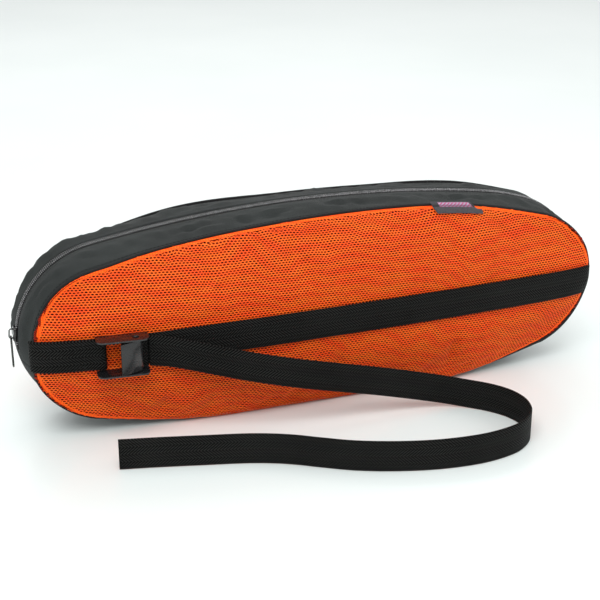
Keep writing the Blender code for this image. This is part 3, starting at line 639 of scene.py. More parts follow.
def follow_seam(mesh):
    """Pulls the strap's right-hand end in where the end seam curves away above and below it."""
    middle = OUTLINES[-1].end_x(END_HEIGHT)
    for vert in mesh.vertices:
        weight = smoothstep(vert.co.x, HALF_LENGTH - 0.035, HALF_LENGTH - 0.012)
        vert.co.x += weight * END_PULL * min(0.0, OUTLINES[-1].end_x(vert.co.z) - middle)
    return mesh


def stub_line():
    clear = STRAP_CLEAR + STRAP_THICK / 2
    radius = max(PLATE_THICK / 2 + FOLD_GAP, FOLD_GAP / 2 + STRAP_THICK / 2) + STRAP_THICK / 2
    last = panel_angle((in_buckle @ Vector((-FRAME_TAIL, 0, 0))).x)
    angles = spread(math.pi, last, 26)
    pulls = [shift_at(LEFT_END, -1) * (a - last) / (math.pi - last) for a in angles]
    inner = [over_panel(a, clear, pulled=pull) for a, pull in zip(angles, pulls)]
    outer = [over_panel(a, clear + STRAP_THICK + FOLD_GAP, pulled=pull) for a, pull in zip(angles, pulls)]
    past = -ANCHOR_BAR / 2 - FOLD_GAP
    fold = [in_buckle @ Vector((past, radius, 0))]
    fold += half_turn(ANCHOR_BAR / 2 - PLATE_THICK / 2 + FOLD_GAP, radius, 12)
    fold.append(in_buckle @ Vector((past, -radius, 0)))
    return inner + fold + list(reversed(outer))


def loop_line():
    level = STRAP_LEVEL
    far = FRAME_LENGTH - FRAME_TAIL
    straight = spread(far, WRAP_EDGE + level, 6)
    centre = WRAP_EDGE + PLATE_THICK / 2 - FOLD_GAP
    turns = [math.pi / 2 + math.pi * i / 14 for i in range(1, 14)]
    line = [Vector((x, level, 0)) for x in straight]
    line += [Vector((centre + level * math.cos(a), level * math.sin(a), 0)) for a in turns]
    line += [Vector((x, -level, 0)) for x in reversed(straight)]
    return [in_buckle @ p for p in line]


run_mesh = follow_seam(ribbon("strap_run_webbing", run_line()))
strap_run = link("strap_run_webbing", run_mesh, None, WEBBING)
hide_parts("strap_run")
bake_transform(strap_run)
strap_stub = link("strap_stub_webbing", ribbon("strap_stub_webbing", stub_line()), "bag", WEBBING)
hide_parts("strap_stub")
loop_mesh = ribbon("strap_loop_webbing", loop_line())
strap_loop = link("strap_loop_webbing", loop_mesh, "buckle", WEBBING)
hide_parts("strap_loop")
print("buckle turned", round(math.degrees(buckle_turn), 2), "degrees")

# %% [markdown]
# Each side of the bag is a stretched, stuffed panel, so it is shaped by simulation.
# It starts as a shallow dome over the outline. Cloth with a little pressure, pinned along its seam, then
# settles into the soft swell and tension folds of real fabric. How far a point may move is capped, so the
# panel keeps the depth of the model. A UV map holds each point's place on the flat cut.

# %% Panel surface by cloth simulation
PANEL_COLUMNS = 84
PANEL_ROWS = 28
DOME_SHARE = 0.965
SWELL_CAP = 0.0022
SLACK = 0.0018

def dome(x, z, side, share=1.0):
    """The panel's point over (x, z), and its place on the flat cut in metres.

    The panel is a dome that is blunt along the base and flatter towards the ends, away from the strap."""
    flat = Vector((x, z - END_HEIGHT))
    reach = OUTLINES[side].reach(math.atan2(flat.y, flat.x))
    part = min(1.0, flat.length / reach)
    power = 0.5 + 0.42 * smoothstep(abs(x), 0.11, 0.19) * smoothstep(abs(flat.y), 0.016, 0.04)

    def depth(at):
        return share * DOME * max(0.0, 1 - at * at) ** power

    steps = [part * i / 12 for i in range(13)]
    arc = sum(math.hypot(reach * (b - a), depth(b) - depth(a)) for a, b in zip(steps, steps[1:]))
    place = flat.normalized() * arc if flat.length > 1e-9 else Vector((0, 0))
    return Vector((x, side * (PANEL_RIM + depth(part)), z)), place


def panel_start(name, side):
    """The panel's dome before it is simulated, with a vertex group for its seam."""
    bm = bmesh.new()
    layer = bm.loops.layers.uv.new("cut")
    columns = []
    places = {}
    outline = OUTLINES[side]
    for i in range(PANEL_COLUMNS + 1):
        across = (1 - math.cos(math.pi * i / PANEL_COLUMNS)) / 2
        x = outline.left.x + (outline.right.x - outline.left.x) * across
        low, high = outline.heights(x)
        rows = [low + (high - low) * (1 - math.cos(math.pi * j / PANEL_ROWS)) / 2 for j in range(PANEL_ROWS + 1)]
        if i in (0, PANEL_COLUMNS):
            rows = [(outline.left if i == 0 else outline.right).z]
        column = []
        for z in rows:
            point, place = dome(x, z, side, DOME_SHARE)
            vert = bm.verts.new(point)
            places[vert] = place
            column.append(vert)
        columns.append(column)
    for left, right in zip(columns, columns[1:]):
        for j in range(PANEL_ROWS):
            corners = [left[min(j, len(left) - 1)], right[min(j, len(right) - 1)]]
            corners += [right[min(j + 1, len(right) - 1)], left[min(j + 1, len(left) - 1)]]
            corners = list(dict.fromkeys(corners))
            if side > 0:
                corners.reverse()
            face = bm.faces.new(corners)
            for loop in face.loops:
                loop[layer].uv = places[loop.vert]
    mesh = bpy.data.meshes.new(name)
    bm.to_mesh(mesh)
    rim = [v.index for v in bm.verts if v.is_boundary]
    bm.free()
    mesh.shade_smooth()
    piece = bpy.data.objects.new(name, mesh)
    scene.collection.objects.link(piece)
    piece.vertex_groups.new(name="seam").add(rim, 1.0, "REPLACE")
    return piece


def simulate(piece, frames=20):
    """Runs the cloth and keeps its result, with each point held near where it started."""
    start = [v.co.copy() for v in piece.data.vertices]
    cloth = piece.modifiers.new("cloth", "CLOTH")
    cloth.settings.quality = 6
    cloth.settings.mass = 0.2
    cloth.settings.tension_stiffness = 12
    cloth.settings.compression_stiffness = 6
    cloth.settings.bending_stiffness = 0.05
    cloth.settings.shrink_min = -0.035
    cloth.settings.vertex_group_mass = "seam"
    cloth.settings.use_pressure = True
    cloth.settings.uniform_pressure_force = 3.0
    cloth.settings.effector_weights.gravity = 0
    for number in range(1, frames + 1):
        scene.frame_set(number)
    finished(piece)
    furthest = 0.0
    for vert, rest in zip(piece.data.vertices, start):
        move = vert.co - rest
        furthest = max(furthest, move.length)
        if move.length > SWELL_CAP:
            vert.co = rest + move * (SWELL_CAP / move.length)
    scene.frame_set(1)
    return furthest


def settle(piece, side):
    """Adds what the strap, the stub and the sewing do to a panel: a dent, a crease and short folds."""
    mesh = piece.data
    normals = [v.normal.copy() for v in mesh.vertices]
    for vert, normal in zip(mesh.vertices, normals):
        x, _, z = vert.co
        low, high = OUTLINES[side].heights(x)
        inside = max(0.0, min(1.0, (z - low) * (high - z) * 4 / max(1e-9, (high - low) ** 2)))
        push = 0.0
        if side < 0:
            push -= 0.0011 * math.exp(-(((z - END_HEIGHT) / 0.017) ** 4))
            push -= 0.0030 * math.exp(-(((x + 0.222) / 0.010) ** 2)) * math.exp(-(((z - 0.088) / 0.05) ** 2))
            turn = math.atan2(z - 0.155, x - 0.262)
            away = math.hypot(x - 0.262, z - 0.155)
            fold = math.sin(turn * 23 + away * 18) * math.exp(-(((away - 0.135) / 0.055) ** 2))
            push += 0.0012 * fold * (1 if z < END_HEIGHT else 0.35)
        coarse = noise.noise(Vector((x * 11, z * 17, 3.7 + side)))
        fine = noise.noise(Vector((x * 34, z * 52, 9.1 + side)))
        push += 0.0011 * coarse + 0.0004 * fine
        vert.co += normal * push * min(1.0, inside * 2.2)
        deepest = dome(x, z, side)[0].y - side * 0.0004
        slack = SLACK
        if side < 0:
            slack *= min(1.0, max(0.0, (abs(z - END_HEIGHT) - 0.017) / 0.012))
        if side * (vert.co.y - deepest) > slack:
            vert.co.y = deepest + side * slack
        flat = Vector((vert.co.x, vert.co.z - END_HEIGHT))
        sewn = smoothstep(flat.length / OUTLINES[side].reach(math.atan2(flat.y, flat.x)), 0.84, 0.97)
        vert.co.y += sewn * (dome(vert.co.x, vert.co.z, side, DOME_SHARE)[0].y - vert.co.y)
    return piece


def panel_surface(name, side):
    piece = panel_start(name, side)
    furthest = simulate(piece)
    settle(piece, side)
    print(name, "has", len(piece.data.vertices), "points, moved up to", round(furthest * 1000, 2), "mm")
    return piece


front_surface = panel_surface("front_surface", -1)
rear_surface = panel_surface("rear_surface", 1)

# %% [markdown]
# The knit is a net of oval holes in staggered rows. Geometry Nodes makes it from one rule, in the flat.
# A grid with every second row shifted by half a pitch is split into triangles, and its dual is a honeycomb.
# Each cell becomes a ring round a hole. Then every point is looked up on the panel by its UV place, so the
# net drapes over the panel's folds without stretching. Points on the hole's edge sit lower than the strands.

# %% A net by Geometry Nodes


def add_node(tree, kind, inputs=None, **settings):
    """Adds a node. inputs maps sockets, by name or number, to plain values or to other nodes' outputs."""
    made = tree.nodes.new(kind)
    for key, value in settings.items():
        setattr(made, key, value)
    for key, value in (inputs or {}).items():
        if isinstance(value, bpy.types.NodeSocket):
            tree.links.new(value, made.inputs[key])
        else:
            made.inputs[key].default_value = value
    return made


def new_tree(name, sockets):
    """An empty tree with named inputs, given as (name, kind) pairs, and its input node."""
    tree = bpy.data.node_groups.new(name, "GeometryNodeTree")
    tree.interface.new_socket("Geometry", in_out="OUTPUT", socket_type="NodeSocketGeometry")
    tree.interface.new_socket("Geometry", in_out="INPUT", socket_type="NodeSocketGeometry")
    for label, kind in sockets:
        tree.interface.new_socket(label, in_out="INPUT", socket_type="NodeSocket" + kind)
    return tree, tree.nodes.new("NodeGroupInput").outputs


def run_tree(name, tree, values):
    """A plain mesh object from a tree, with the tree's inputs set by name before it first runs."""
    piece = bpy.data.objects.new(name, bpy.data.meshes.new(name))
    scene.collection.objects.link(piece)
    modifier = piece.modifiers.new("made by rule", "NODES")
    modifier.node_group = tree
    for item in tree.interface.items_tree:
        if item.in_out == "INPUT" and item.name in values:
            modifier[item.identifier] = values[item.name]
    return finished(piece)


def net_tree():
    tree, given = new_tree(
        "knit_net",
        [
            ("Surface", "Object"),
            ("Hole Pitch", "Float"),
            ("Row Pitch", "Float"),
            ("Width", "Float"),
            ("Height", "Float"),
            ("Hole Width", "Float"),
            ("Hole Height", "Float"),
            ("Strand Rise", "Float"),
            ("Seed", "Float"),
            ("Material", "Material"),
        ],
    )

    def maths(operation, a, b=0.0):
        return add_node(tree, "ShaderNodeMath", {0: a, 1: b}, operation=operation).outputs[0]

    def position():
        return add_node(tree, "ShaderNodeSeparateXYZ", {0: tree.nodes.new("GeometryNodeInputPosition").outputs[0]})

    columns = maths("FLOOR", maths("DIVIDE", given["Width"], given["Hole Pitch"]))
    rows = maths("FLOOR", maths("DIVIDE", given["Height"], given["Row Pitch"]))
    grid = add_node(
        tree,
        "GeometryNodeMeshGrid",
        {
            "Size X": maths("MULTIPLY", maths("SUBTRACT", columns, 1.0), given["Hole Pitch"]),
            "Size Y": maths("MULTIPLY", maths("SUBTRACT", rows, 1.0), given["Row Pitch"]),
            "Vertices X": columns,
            "Vertices Y": rows,
        },
    )
    row = maths("FLOOR", maths("ADD", maths("DIVIDE", position().outputs["Y"], given["Row Pitch"]), 0.25))
    odd = maths("FLOORED_MODULO", row, 2.0)
    shift = add_node(
        tree, "ShaderNodeCombineXYZ", {"X": maths("MULTIPLY", maths("MULTIPLY", odd, given["Hole Pitch"]), 0.5)}
    )
    shifted = add_node(
        tree, "GeometryNodeSetPosition", {"Geometry": grid.outputs["Mesh"], "Offset": shift.outputs[0]}
    )
    split = add_node(tree, "GeometryNodeTriangulate", {0: shifted.outputs[0]})
    honeycomb = add_node(tree, "GeometryNodeDualMesh", {0: split.outputs[0]})

    # A slow wobble keeps the rows from looking ruled
    wobble = add_node(
        tree, "ShaderNodeTexNoise", {"Scale": 95.0, "Detail": 1.0, "W": given["Seed"]}, noise_dimensions="4D"
    )
    centred = add_node(tree, "ShaderNodeVectorMath", {0: wobble.outputs["Color"], 1: (0.5, 0.5, 0.5)}, operation="SUBTRACT")
    scaled = add_node(tree, "ShaderNodeVectorMath", {0: centred.outputs[0], 1: (0.0012, 0.0009, 0.0)}, operation="MULTIPLY")
    wavy = add_node(
        tree, "GeometryNodeSetPosition", {"Geometry": honeycomb.outputs[0], "Offset": scaled.outputs[0]}
    )

    surface = add_node(
        tree, "GeometryNodeObjectInfo", {"Object": given["Surface"]}, transform_space="RELATIVE"
    ).outputs["Geometry"]
    cut_map = add_node(tree, "GeometryNodeInputNamedAttribute", {"Name": "cut"}, data_type="FLOAT_VECTOR").outputs[0]

    def looked_up(value):
        node = add_node(tree, "GeometryNodeSampleUVSurface", data_type="FLOAT_VECTOR")
        tree.links.new(surface, node.inputs["Mesh"])
        tree.links.new(value, node.inputs["Value"])
        tree.links.new(cut_map, node.inputs["Source UV Map"])
        tree.links.new(tree.nodes.new("GeometryNodeInputPosition").outputs[0], node.inputs["Sample UV"])
        return node.outputs["Value"], node.outputs["Is Valid"]

    place, valid = looked_up(tree.nodes.new("GeometryNodeInputPosition").outputs[0])
    outward, _ = looked_up(tree.nodes.new("GeometryNodeInputNormal").outputs[0])
    marked = add_node(
        tree,
        "GeometryNodeStoreNamedAttribute",
        {"Geometry": wavy.outputs[0], "Name": "valid", "Value": valid},
        data_type="BOOLEAN",
        domain="POINT",
    )
    inside = add_node(tree, "GeometryNodeInputNamedAttribute", {"Name": "valid"}, data_type="BOOLEAN").outputs[0]
    outside = add_node(tree, "FunctionNodeBooleanMath", {0: inside}, operation="NOT").outputs[0]
    trimmed = add_node(
        tree, "GeometryNodeDeleteGeometry", {"Geometry": marked.outputs[0], "Selection": outside}, domain="FACE"
    )
    cells = add_node(
        tree,
        "GeometryNodeExtrudeMesh",
        {"Mesh": trimmed.outputs[0], "Offset Scale": 0.0, "Individual": True},
        mode="FACES",
    )
    holes = cells.outputs["Mesh"]
    for share, axis in ((given["Hole Width"], (1, 0, 0)), (given["Hole Height"], (0, 1, 0))):
        node = add_node(
            tree,
            "GeometryNodeScaleElements",
            {"Geometry": holes, "Selection": cells.outputs["Top"], "Scale": share},
            domain="FACE",
            scale_mode="SINGLE_AXIS",
        )
        node.inputs["Axis"].default_value = axis
        holes = node.outputs[0]
    low = add_node(
        tree,
        "GeometryNodeStoreNamedAttribute",
        {"Geometry": holes, "Name": "hole_edge", "Value": cells.outputs["Top"]},
        data_type="BOOLEAN",
        domain="POINT",
    )
    opened = add_node(
        tree,
        "GeometryNodeDeleteGeometry",
        {"Geometry": low.outputs[0], "Selection": cells.outputs["Top"]},
        domain="FACE",
    )
    edge = add_node(tree, "GeometryNodeInputNamedAttribute", {"Name": "hole_edge"}, data_type="BOOLEAN").outputs[0]
    rise = add_node(
        tree, "GeometryNodeSwitch", {"Switch": edge, "False": given["Strand Rise"], "True": 0.0}, input_type="FLOAT"
    )
    lifted = add_node(
        tree, "ShaderNodeVectorMath", {0: outward, "Scale": rise.outputs[0]}, operation="SCALE"
    )
    on_panel = add_node(tree, "ShaderNodeVectorMath", {0: place, 1: lifted.outputs[0]}, operation="ADD")
    draped = add_node(
        tree, "GeometryNodeSetPosition", {"Geometry": opened.outputs[0], "Position": on_panel.outputs[0]}
    )
    smooth = add_node(tree, "GeometryNodeSetShadeSmooth", {"Geometry": draped.outputs[0]})
    real = add_node(tree, "GeometryNodeRealizeInstances", {"Geometry": smooth.outputs[0]})
    dressed = add_node(
        tree, "GeometryNodeSetMaterial", {"Geometry": real.outputs[0], "Material": given["Material"]}
    )
    tree.links.new(dressed.outputs[0], tree.nodes.new("NodeGroupOutput").inputs[0])
    return tree


NET = net_tree()
print("net tree has", len(NET.nodes), "nodes")

# %% [markdown]
# Three materials make the panel. The strands are bright orange polyester, a little shiny on top, with fine
# filament bump and slow random changes in colour. They also carry painted shade: a slow wave darkens the strands in
# bands, standing in for the shade of shallow folds in the stuffed net. The lining behind the holes is a second net
# in deep red, whose bent rows show through as soft ripples. The edge band is the same knit, pulled so tight by the
# seam that its holes close.

# %% Knit materials
LINING_PITCH = 0.00212
FOLD_SHADE_PITCH = 0.0105
ORANGE_DARK = (0.96, 0.060, 0.003)
ORANGE_LIGHT = (1.0, 0.168, 0.008)


def ripples(r, source, x, z):
    """Height z bent by slow noise, so rows drawn along it ripple like loose cloth."""
    bend = r.noise(source, 15, 2)
    return r.math("ADD", r.math("MULTIPLY_ADD", bend, 0.055, z), r.math("MULTIPLY", x, 0.15))


def knit_material():
    r = Recipe("orange_knit", Specular_IOR_Level=0.25, Sheen_Weight=0.08, Sheen_Roughness=0.35)
    r.shader.inputs["Sheen Tint"].default_value = (1.0, 0.45, 0.2, 1)
    source, x, _, z = r.coordinates("Object")
    filament = r.wave(r.math("ADD", x, r.math("MULTIPLY", z, 0.6)), 0.00032)
    # Painted shade: this slow wave along the rippled rows darkens the strand colour in bands, standing in for the
    # shade of shallow folds in the net
    folds = r.wave(ripples(r, source, x, z), FOLD_SHADE_PITCH)
    blotch = r.noise(source, 42, 3)
    grain = r.noise(source, 1500, 2)
    shade = r.math("ADD", r.math("MULTIPLY", blotch, 0.45), r.math("MULTIPLY", grain, 0.33))
    shade = r.math("ADD", shade, r.math("MULTIPLY", folds, 0.22))
    r.colour(r.ramp(shade, 0.25, 0.75, ORANGE_DARK, ORANGE_LIGHT))
    r.roughness(r.span(grain, 0.42, 0.62))
    r.normal(r.bump(filament, 0.00008, 0.7, r.bump(grain, 0.0002, 0.5)))
    return r.material


def lining_material():
    """A second, slightly coarser net. Through the holes of the first it shows as slow ripples."""
    r = Recipe("dark_red_lining", Specular_IOR_Level=0.15)
    source, x, _, z = r.coordinates("Object")
    rows = r.wave(ripples(r, source, x, z), LINING_PITCH)
    blotch = r.noise(source, 30, 3)
    shade = r.math("ADD", r.math("MULTIPLY", rows, 0.8), r.math("MULTIPLY", blotch, 0.2))
    r.colour(r.ramp(shade, 0.3, 0.75, (0.020, 0.0008, 0.0006), (0.42, 0.022, 0.003)))
    r.roughness(0.8)
    r.normal(r.bump(rows, 0.0002, 0.6))
    return r.material


def band_material():
    r = Recipe("orange_edge_band", Specular_IOR_Level=0.15, Sheen_Weight=0.0, Sheen_Roughness=0.4)
    source, x, _, z = r.coordinates("Object")
    pinched = r.math("MULTIPLY", r.wave(x, 0.0021), r.wave(z, 0.0016))
    grain = r.noise(source, 1300, 2)
    shade = r.math("ADD", r.math("MULTIPLY", pinched, 0.55), r.math("MULTIPLY", grain, 0.45))
    r.colour(r.ramp(shade, 0.15, 0.65, ORANGE_DARK, ORANGE_LIGHT))
    r.roughness(r.span(grain, 0.5, 0.7))
    r.normal(r.bump(shade, 0.0004, 0.7))
    return r.material


KNIT, LINING, BAND = knit_material(), lining_material(), band_material()
print("materials", KNIT.name, LINING.name, BAND.name)

# %% [markdown]
# Each panel is put together from its net, its lining a millimetre behind, and a narrow band that covers the
# net's cut edge along the piping. The three become one piece on the bag.

# %% Panels
HOLE_PITCH = 0.0029
ROW_PITCH = 0.00185
LINING_DEPTH = 0.0013
BAND_TURN = 0.15
BAND_RISE = 0.00028
BAND_EDGE_RISE = 0.00005


def behind(surface, depth):
    """A copy of a surface's mesh, moved back along its normals."""
    mesh = surface.data.copy()
    places = [v.co - v.normal * depth for v in mesh.vertices]
    for vert, place in zip(mesh.vertices, places):
        vert.co = place
    return mesh


def edge_band(name, surface, side):
    """A narrow band on the panel, just inside the seam."""
    tree = BVHTree.FromObject(surface, bpy.context.evaluated_depsgraph_get())
    rings = []
    count = 420
    for i in range(count):
        rim = edge_at(PERIMETER * i / count, side)[0]
        ring = []
        for k in range(5):
            turn = BAND_TURN * k / 4
            point = BAG_CENTRE + (rim - BAG_CENTRE) * math.cos(turn)
            point.y = side * (PANEL_RIM + DOME * math.sin(turn))
            place, normal, _, _ = tree.find_nearest(point)
            ring.append(place + normal * (BAND_RISE if 0 < k < 4 else BAND_EDGE_RISE))
        rings.append(ring if side < 0 else list(reversed(ring)))
    return skin(name, rings, closed_run=True)


def join_into(piece, parts):
    """Joins other mesh objects into a piece, which keeps its name."""
    bpy.ops.object.select_all(action="DESELECT")
    for part in [piece, *parts]:
        part.select_set(True)
    bpy.context.view_layer.objects.active = piece
    bpy.ops.object.join()
    return piece


def build_panel(name, node, surface, side):
    net = run_tree(
        name,
        NET,
        {
            "Surface": surface,
            "Hole Pitch": HOLE_PITCH,
            "Row Pitch": ROW_PITCH,
            "Width": 0.60,
            "Height": 0.24,
            "Hole Width": 0.72,
            "Hole Height": 0.53,
            "Strand Rise": 0.00030,
            "Seed": 2.0 + side,
            "Material": KNIT,
        },
    )
    lining = link(name + "_lining", behind(surface, LINING_DEPTH), material=LINING)
    band = link(name + "_band", edge_band(name + "_band", surface, side), material=BAND)
    join_into(net, [lining, band])
    bpy.data.objects.remove(surface)
    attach(net, "bag")
    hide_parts(node)
    print(name, "faces", len(net.data.polygons))


build_panel("front_panel_knit", "front_mesh_panel", front_surface, -1)
build_panel("rear_panel_knit", "rear_mesh_panel", rear_surface, 1)

# %% [markdown]
# The gusset is charcoal polyester in a plain weave. Fabric sheets are made flat on a grid of seam distance
# and depth, so their UV maps are true metres. Small noise folds them, away from the stitched edges and
# only outwards over the tapes. Then each sheet is given its thickness on the inside.

# %% Gusset fabric
FABRIC_THICK = 0.0012
ZIP_SLOT = 0.0052
SEAM_DIP = math.radians(11)
TAPE_REACH = 0.0160
GUSSET_FOLDS = 0.0028
ALONG_STEP = 0.0032
ACROSS_STEP = 0.0024
GUSSET_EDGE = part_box("rear_zip_strip")[1].y


def fabric_material(name, dark, light, pitch, rough=(0.62, 0.8)):
    """A plain weave of thread pitch, with slow blotches of wear."""
    r = Recipe(name, Specular_IOR_Level=0.2, Sheen_Weight=0.02, Sheen_Roughness=0.45)
    _, along, across, _ = r.coordinates("UV")
    over = r.wave(along, pitch)
    under = r.wave(across, pitch)
    weave = r.math("MULTIPLY_ADD", r.math("SUBTRACT", over, 0.5), r.math("SUBTRACT", under, 0.5), 0.5)
    source, _, _, _ = r.coordinates("Object")
    grain = r.noise(source, 2200, 2)
    wear = r.noise(source, 26, 4)
    height = r.math("ADD", r.math("MULTIPLY", weave, 1.2), r.math("MULTIPLY", grain, 0.5))
    shade = r.math("MULTIPLY", height, r.span(wear, 0.7, 1.3))
    r.colour(r.ramp(shade, 0.5, 1.2, dark, light))
    r.roughness(r.span(wear, *rough))
    r.normal(r.bump(height, 0.00022, 0.8))
    return r.material


CHARCOAL = fabric_material("charcoal_fabric", (0.0030, 0.0034, 0.0034), (0.032, 0.037, 0.036), 0.00085)
BLACK_TAPE = fabric_material("black_tape", (0.0015, 0.0015, 0.0016), (0.008, 0.008, 0.0085), 0.0006)
TRIM = fabric_material("black_trim", (0.002, 0.002, 0.0021), (0.011, 0.011, 0.0115), 0.0007, (0.5, 0.7))

HEEL_DIP = SEAM_DIP * HEEL_RADIUS
UPPER_START = -HEEL_DIP + 0.0003
UPPER_END = LEFT_END + HEEL_DIP - 0.0003


def gusset_cloth(name, start, end, y0, y1, material, top=0.0, thick=FABRIC_THICK, folds=GUSSET_FOLDS):
    """A piece of fabric on the gusset between two seam distances and two depths."""
    along = spread(start, end, max(4, round((end - start) / ALONG_STEP)))
    across = spread(y0, y1, max(3, round((y1 - y0) / ACROSS_STEP)))
    rings = []
    for d in along:
        ring = []
        for y in across:
            edge = min(1.0, (y - y0) / 0.009, (y1 - y) / 0.007, (d - start) / 0.012, (end - d) / 0.012)
            edge = max(0.0, edge) ** 2
            long_fold = noise.noise(Vector((d * 30 + y * 18, y * 62, 1.3 + y0 * 40)))
            short_fold = noise.noise(Vector((d * 95 - y * 40, y * 120, 7.7 + y0 * 40)))
            raised = folds * edge * (long_fold + 0.8 * short_fold)
            if abs(y) < TAPE_REACH:
                raised = abs(raised)
            ring.append(gusset_point(d, y, raised - top))
        rings.append(ring)
    mesh = skin(name, rings, uv=lambda i, j: (along[i], across[j]))
    face_outwards(mesh, BAG_CENTRE)
    piece = link(name, mesh, material=material)
    shell = piece.modifiers.new("thickness", "SOLIDIFY")
    shell.thickness = thick
    shell.offset = -1
    return finished(piece)


def sewn_in(piece, flat, slot, *nodes):
    """Puts a stretched sheet on the bag in place of CAD nodes, which it hides."""
    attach(piece, "bag")
    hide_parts(*nodes)


for label, side in (("front", -1), ("rear", 1)):
    y0, y1 = sorted((side * ZIP_SLOT, side * GUSSET_EDGE))
    strip = gusset_cloth(label + "_gusset_strip", UPPER_START, UPPER_END, y0, y1, CHARCOAL)
    sewn_in(strip, (y1 - y0, UPPER_END - UPPER_START), "gusset_fabric", label + "_zip_strip")
print("gusset strips are", round(UPPER_END - UPPER_START, 3), "m long")

# %% [markdown]
# The base gusset runs under the bag. The folded tabs that close the slot past both ends of the zipper are
# sewn to its ends, so they are part of the same piece. The black tapes show as narrow dark bands beside
# the coil.

# %% Base gusset, end tabs and zipper tapes
COIL_SPLIT = 0.0005
TAPE_WIDTH = 0.0130
TAPE_THICK = 0.0005
TAPE_TOP = FABRIC_THICK + 0.0003
CHAIN_DIP = math.radians(2.5)
STOP_LENGTH = 0.0024
TAB_START = CHAIN_DIP * HEEL_RADIUS + STOP_LENGTH + 0.0006
TAB_EDGE = ZIP_SLOT - 0.0003

base_run = (LEFT_END + HEEL_DIP, PERIMETER - HEEL_DIP)
base = gusset_cloth("base_gusset", *base_run, -GUSSET_EDGE, GUSSET_EDGE, CHARCOAL, folds=0.0)
tabs = [
    gusset_cloth("left_tab", LEFT_END + TAB_START, UPPER_END, -TAB_EDGE, TAB_EDGE, CHARCOAL, folds=0.0),
    gusset_cloth("right_tab", UPPER_START, -TAB_START, -TAB_EDGE, TAB_EDGE, CHARCOAL, folds=0.0),
]
join_into(base, tabs)
base_flat = (2 * GUSSET_EDGE, PERIMETER - LEFT_END - 2 * HEEL_DIP)
sewn_in(base, base_flat, "gusset_fabric", "bottom_gusset", "left_zip_tab", "right_zip_tab")
for label, side in (("front", -1), ("rear", 1)):
    y0, y1 = sorted((side * COIL_SPLIT, side * (COIL_SPLIT + TAPE_WIDTH)))
    tape = gusset_cloth(label + "_tape", UPPER_START, UPPER_END, y0, y1, BLACK_TAPE, TAPE_TOP, TAPE_THICK, 0.0)
    sewn_in(tape, (TAPE_WIDTH, UPPER_END - UPPER_START), "trim", label + "_zip_tape")
print("base gusset", [round(c, 3) for c in base_flat])

# %% [markdown]
# A rolled black cord is sewn into each panel seam, and a binding tape covers the raw edges inside. Both are
# tubes round the outline. The cord is fuller at the right end, and it is pressed level with the base where
# the bag stands on it.

# %% Piping and seam bindings
PIPING_RADIUS = 0.0013
PIPING_PROUD = 0.0006
END_SWELL = 0.0010
BINDING_WIDTH = 0.0045
BINDING_THICK = 0.0016


def round_tube(name, place_at, radius, sides=10, steps=420):
    """A closed tube round the outline. place_at gives its centre, normal, flatness and relative size."""
    rings = []
    for i in range(steps):
        centre, normal, flat, size = place_at(PERIMETER * i / steps)
        ring = []
        for k in range(sides):
            a = 2 * math.pi * k / sides
            in_depth, outwards = radius * size * math.cos(a), radius * size * flat * math.sin(a)
            ring.append(centre + Vector((0, in_depth, 0)) + normal * outwards)
        rings.append(ring)
    around = 2 * math.pi * radius / sides

    def uv(i, j):
        return PERIMETER * i / steps, around * j

    return skin(name, rings, closed_ring=True, closed_run=True, uv=uv)


for label, side in (("front", -1), ("rear", 1)):

    def piping_at(distance, side=side):
        point, normal = edge_at(distance, side)
        swollen = smoothstep(point.x, 0.08, 0.15) * smoothstep(-normal.z, -0.35, 0.1)
        proud = PIPING_PROUD + END_SWELL * swollen
        lift = proud - (proud + PIPING_RADIUS) * smoothstep(-normal.z, 0.96, 0.998)
        ripple = 0.00012 * noise.noise(Vector((distance * 60, side, 0)))
        centre = point + normal * (lift - abs(ripple)) + Vector((0, side * SEAM_Y, 0))
        return centre, normal, 1.0, 1 + END_SWELL / PIPING_RADIUS * swollen

    def binding_at(distance, side=side):
        point, normal = edge_at(distance, side)
        depth = side * (GUSSET_EDGE - BINDING_WIDTH / 2)
        centre = point - normal * (TAPE_TOP + BINDING_THICK / 2) + Vector((0, depth, 0))
        return centre, normal, BINDING_THICK / BINDING_WIDTH, 1.0

    mesh = round_tube("piping", piping_at, PIPING_RADIUS, 12)
    piping = link(label + "_rolled_piping", mesh, "bag", TRIM)
    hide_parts(label + "_piping")
    mesh = round_tube("binding", binding_at, BINDING_WIDTH / 2, 8)
    binding = link(label + "_binding_tape", mesh, "bag", TRIM)
    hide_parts(label + "_seam_binding")
print("trim pieces done")

# %% [markdown]
# Coil turns and stitches are the same idea: one small piece, repeated along a line, turned to lie on a
# surface. One node tree does it. The path is a mesh of joined points that carries
# an "outward" attribute. It is resampled at a set spacing, and each copy's Z points outwards and its X runs
# along the path.

# %% Placing pieces along a path


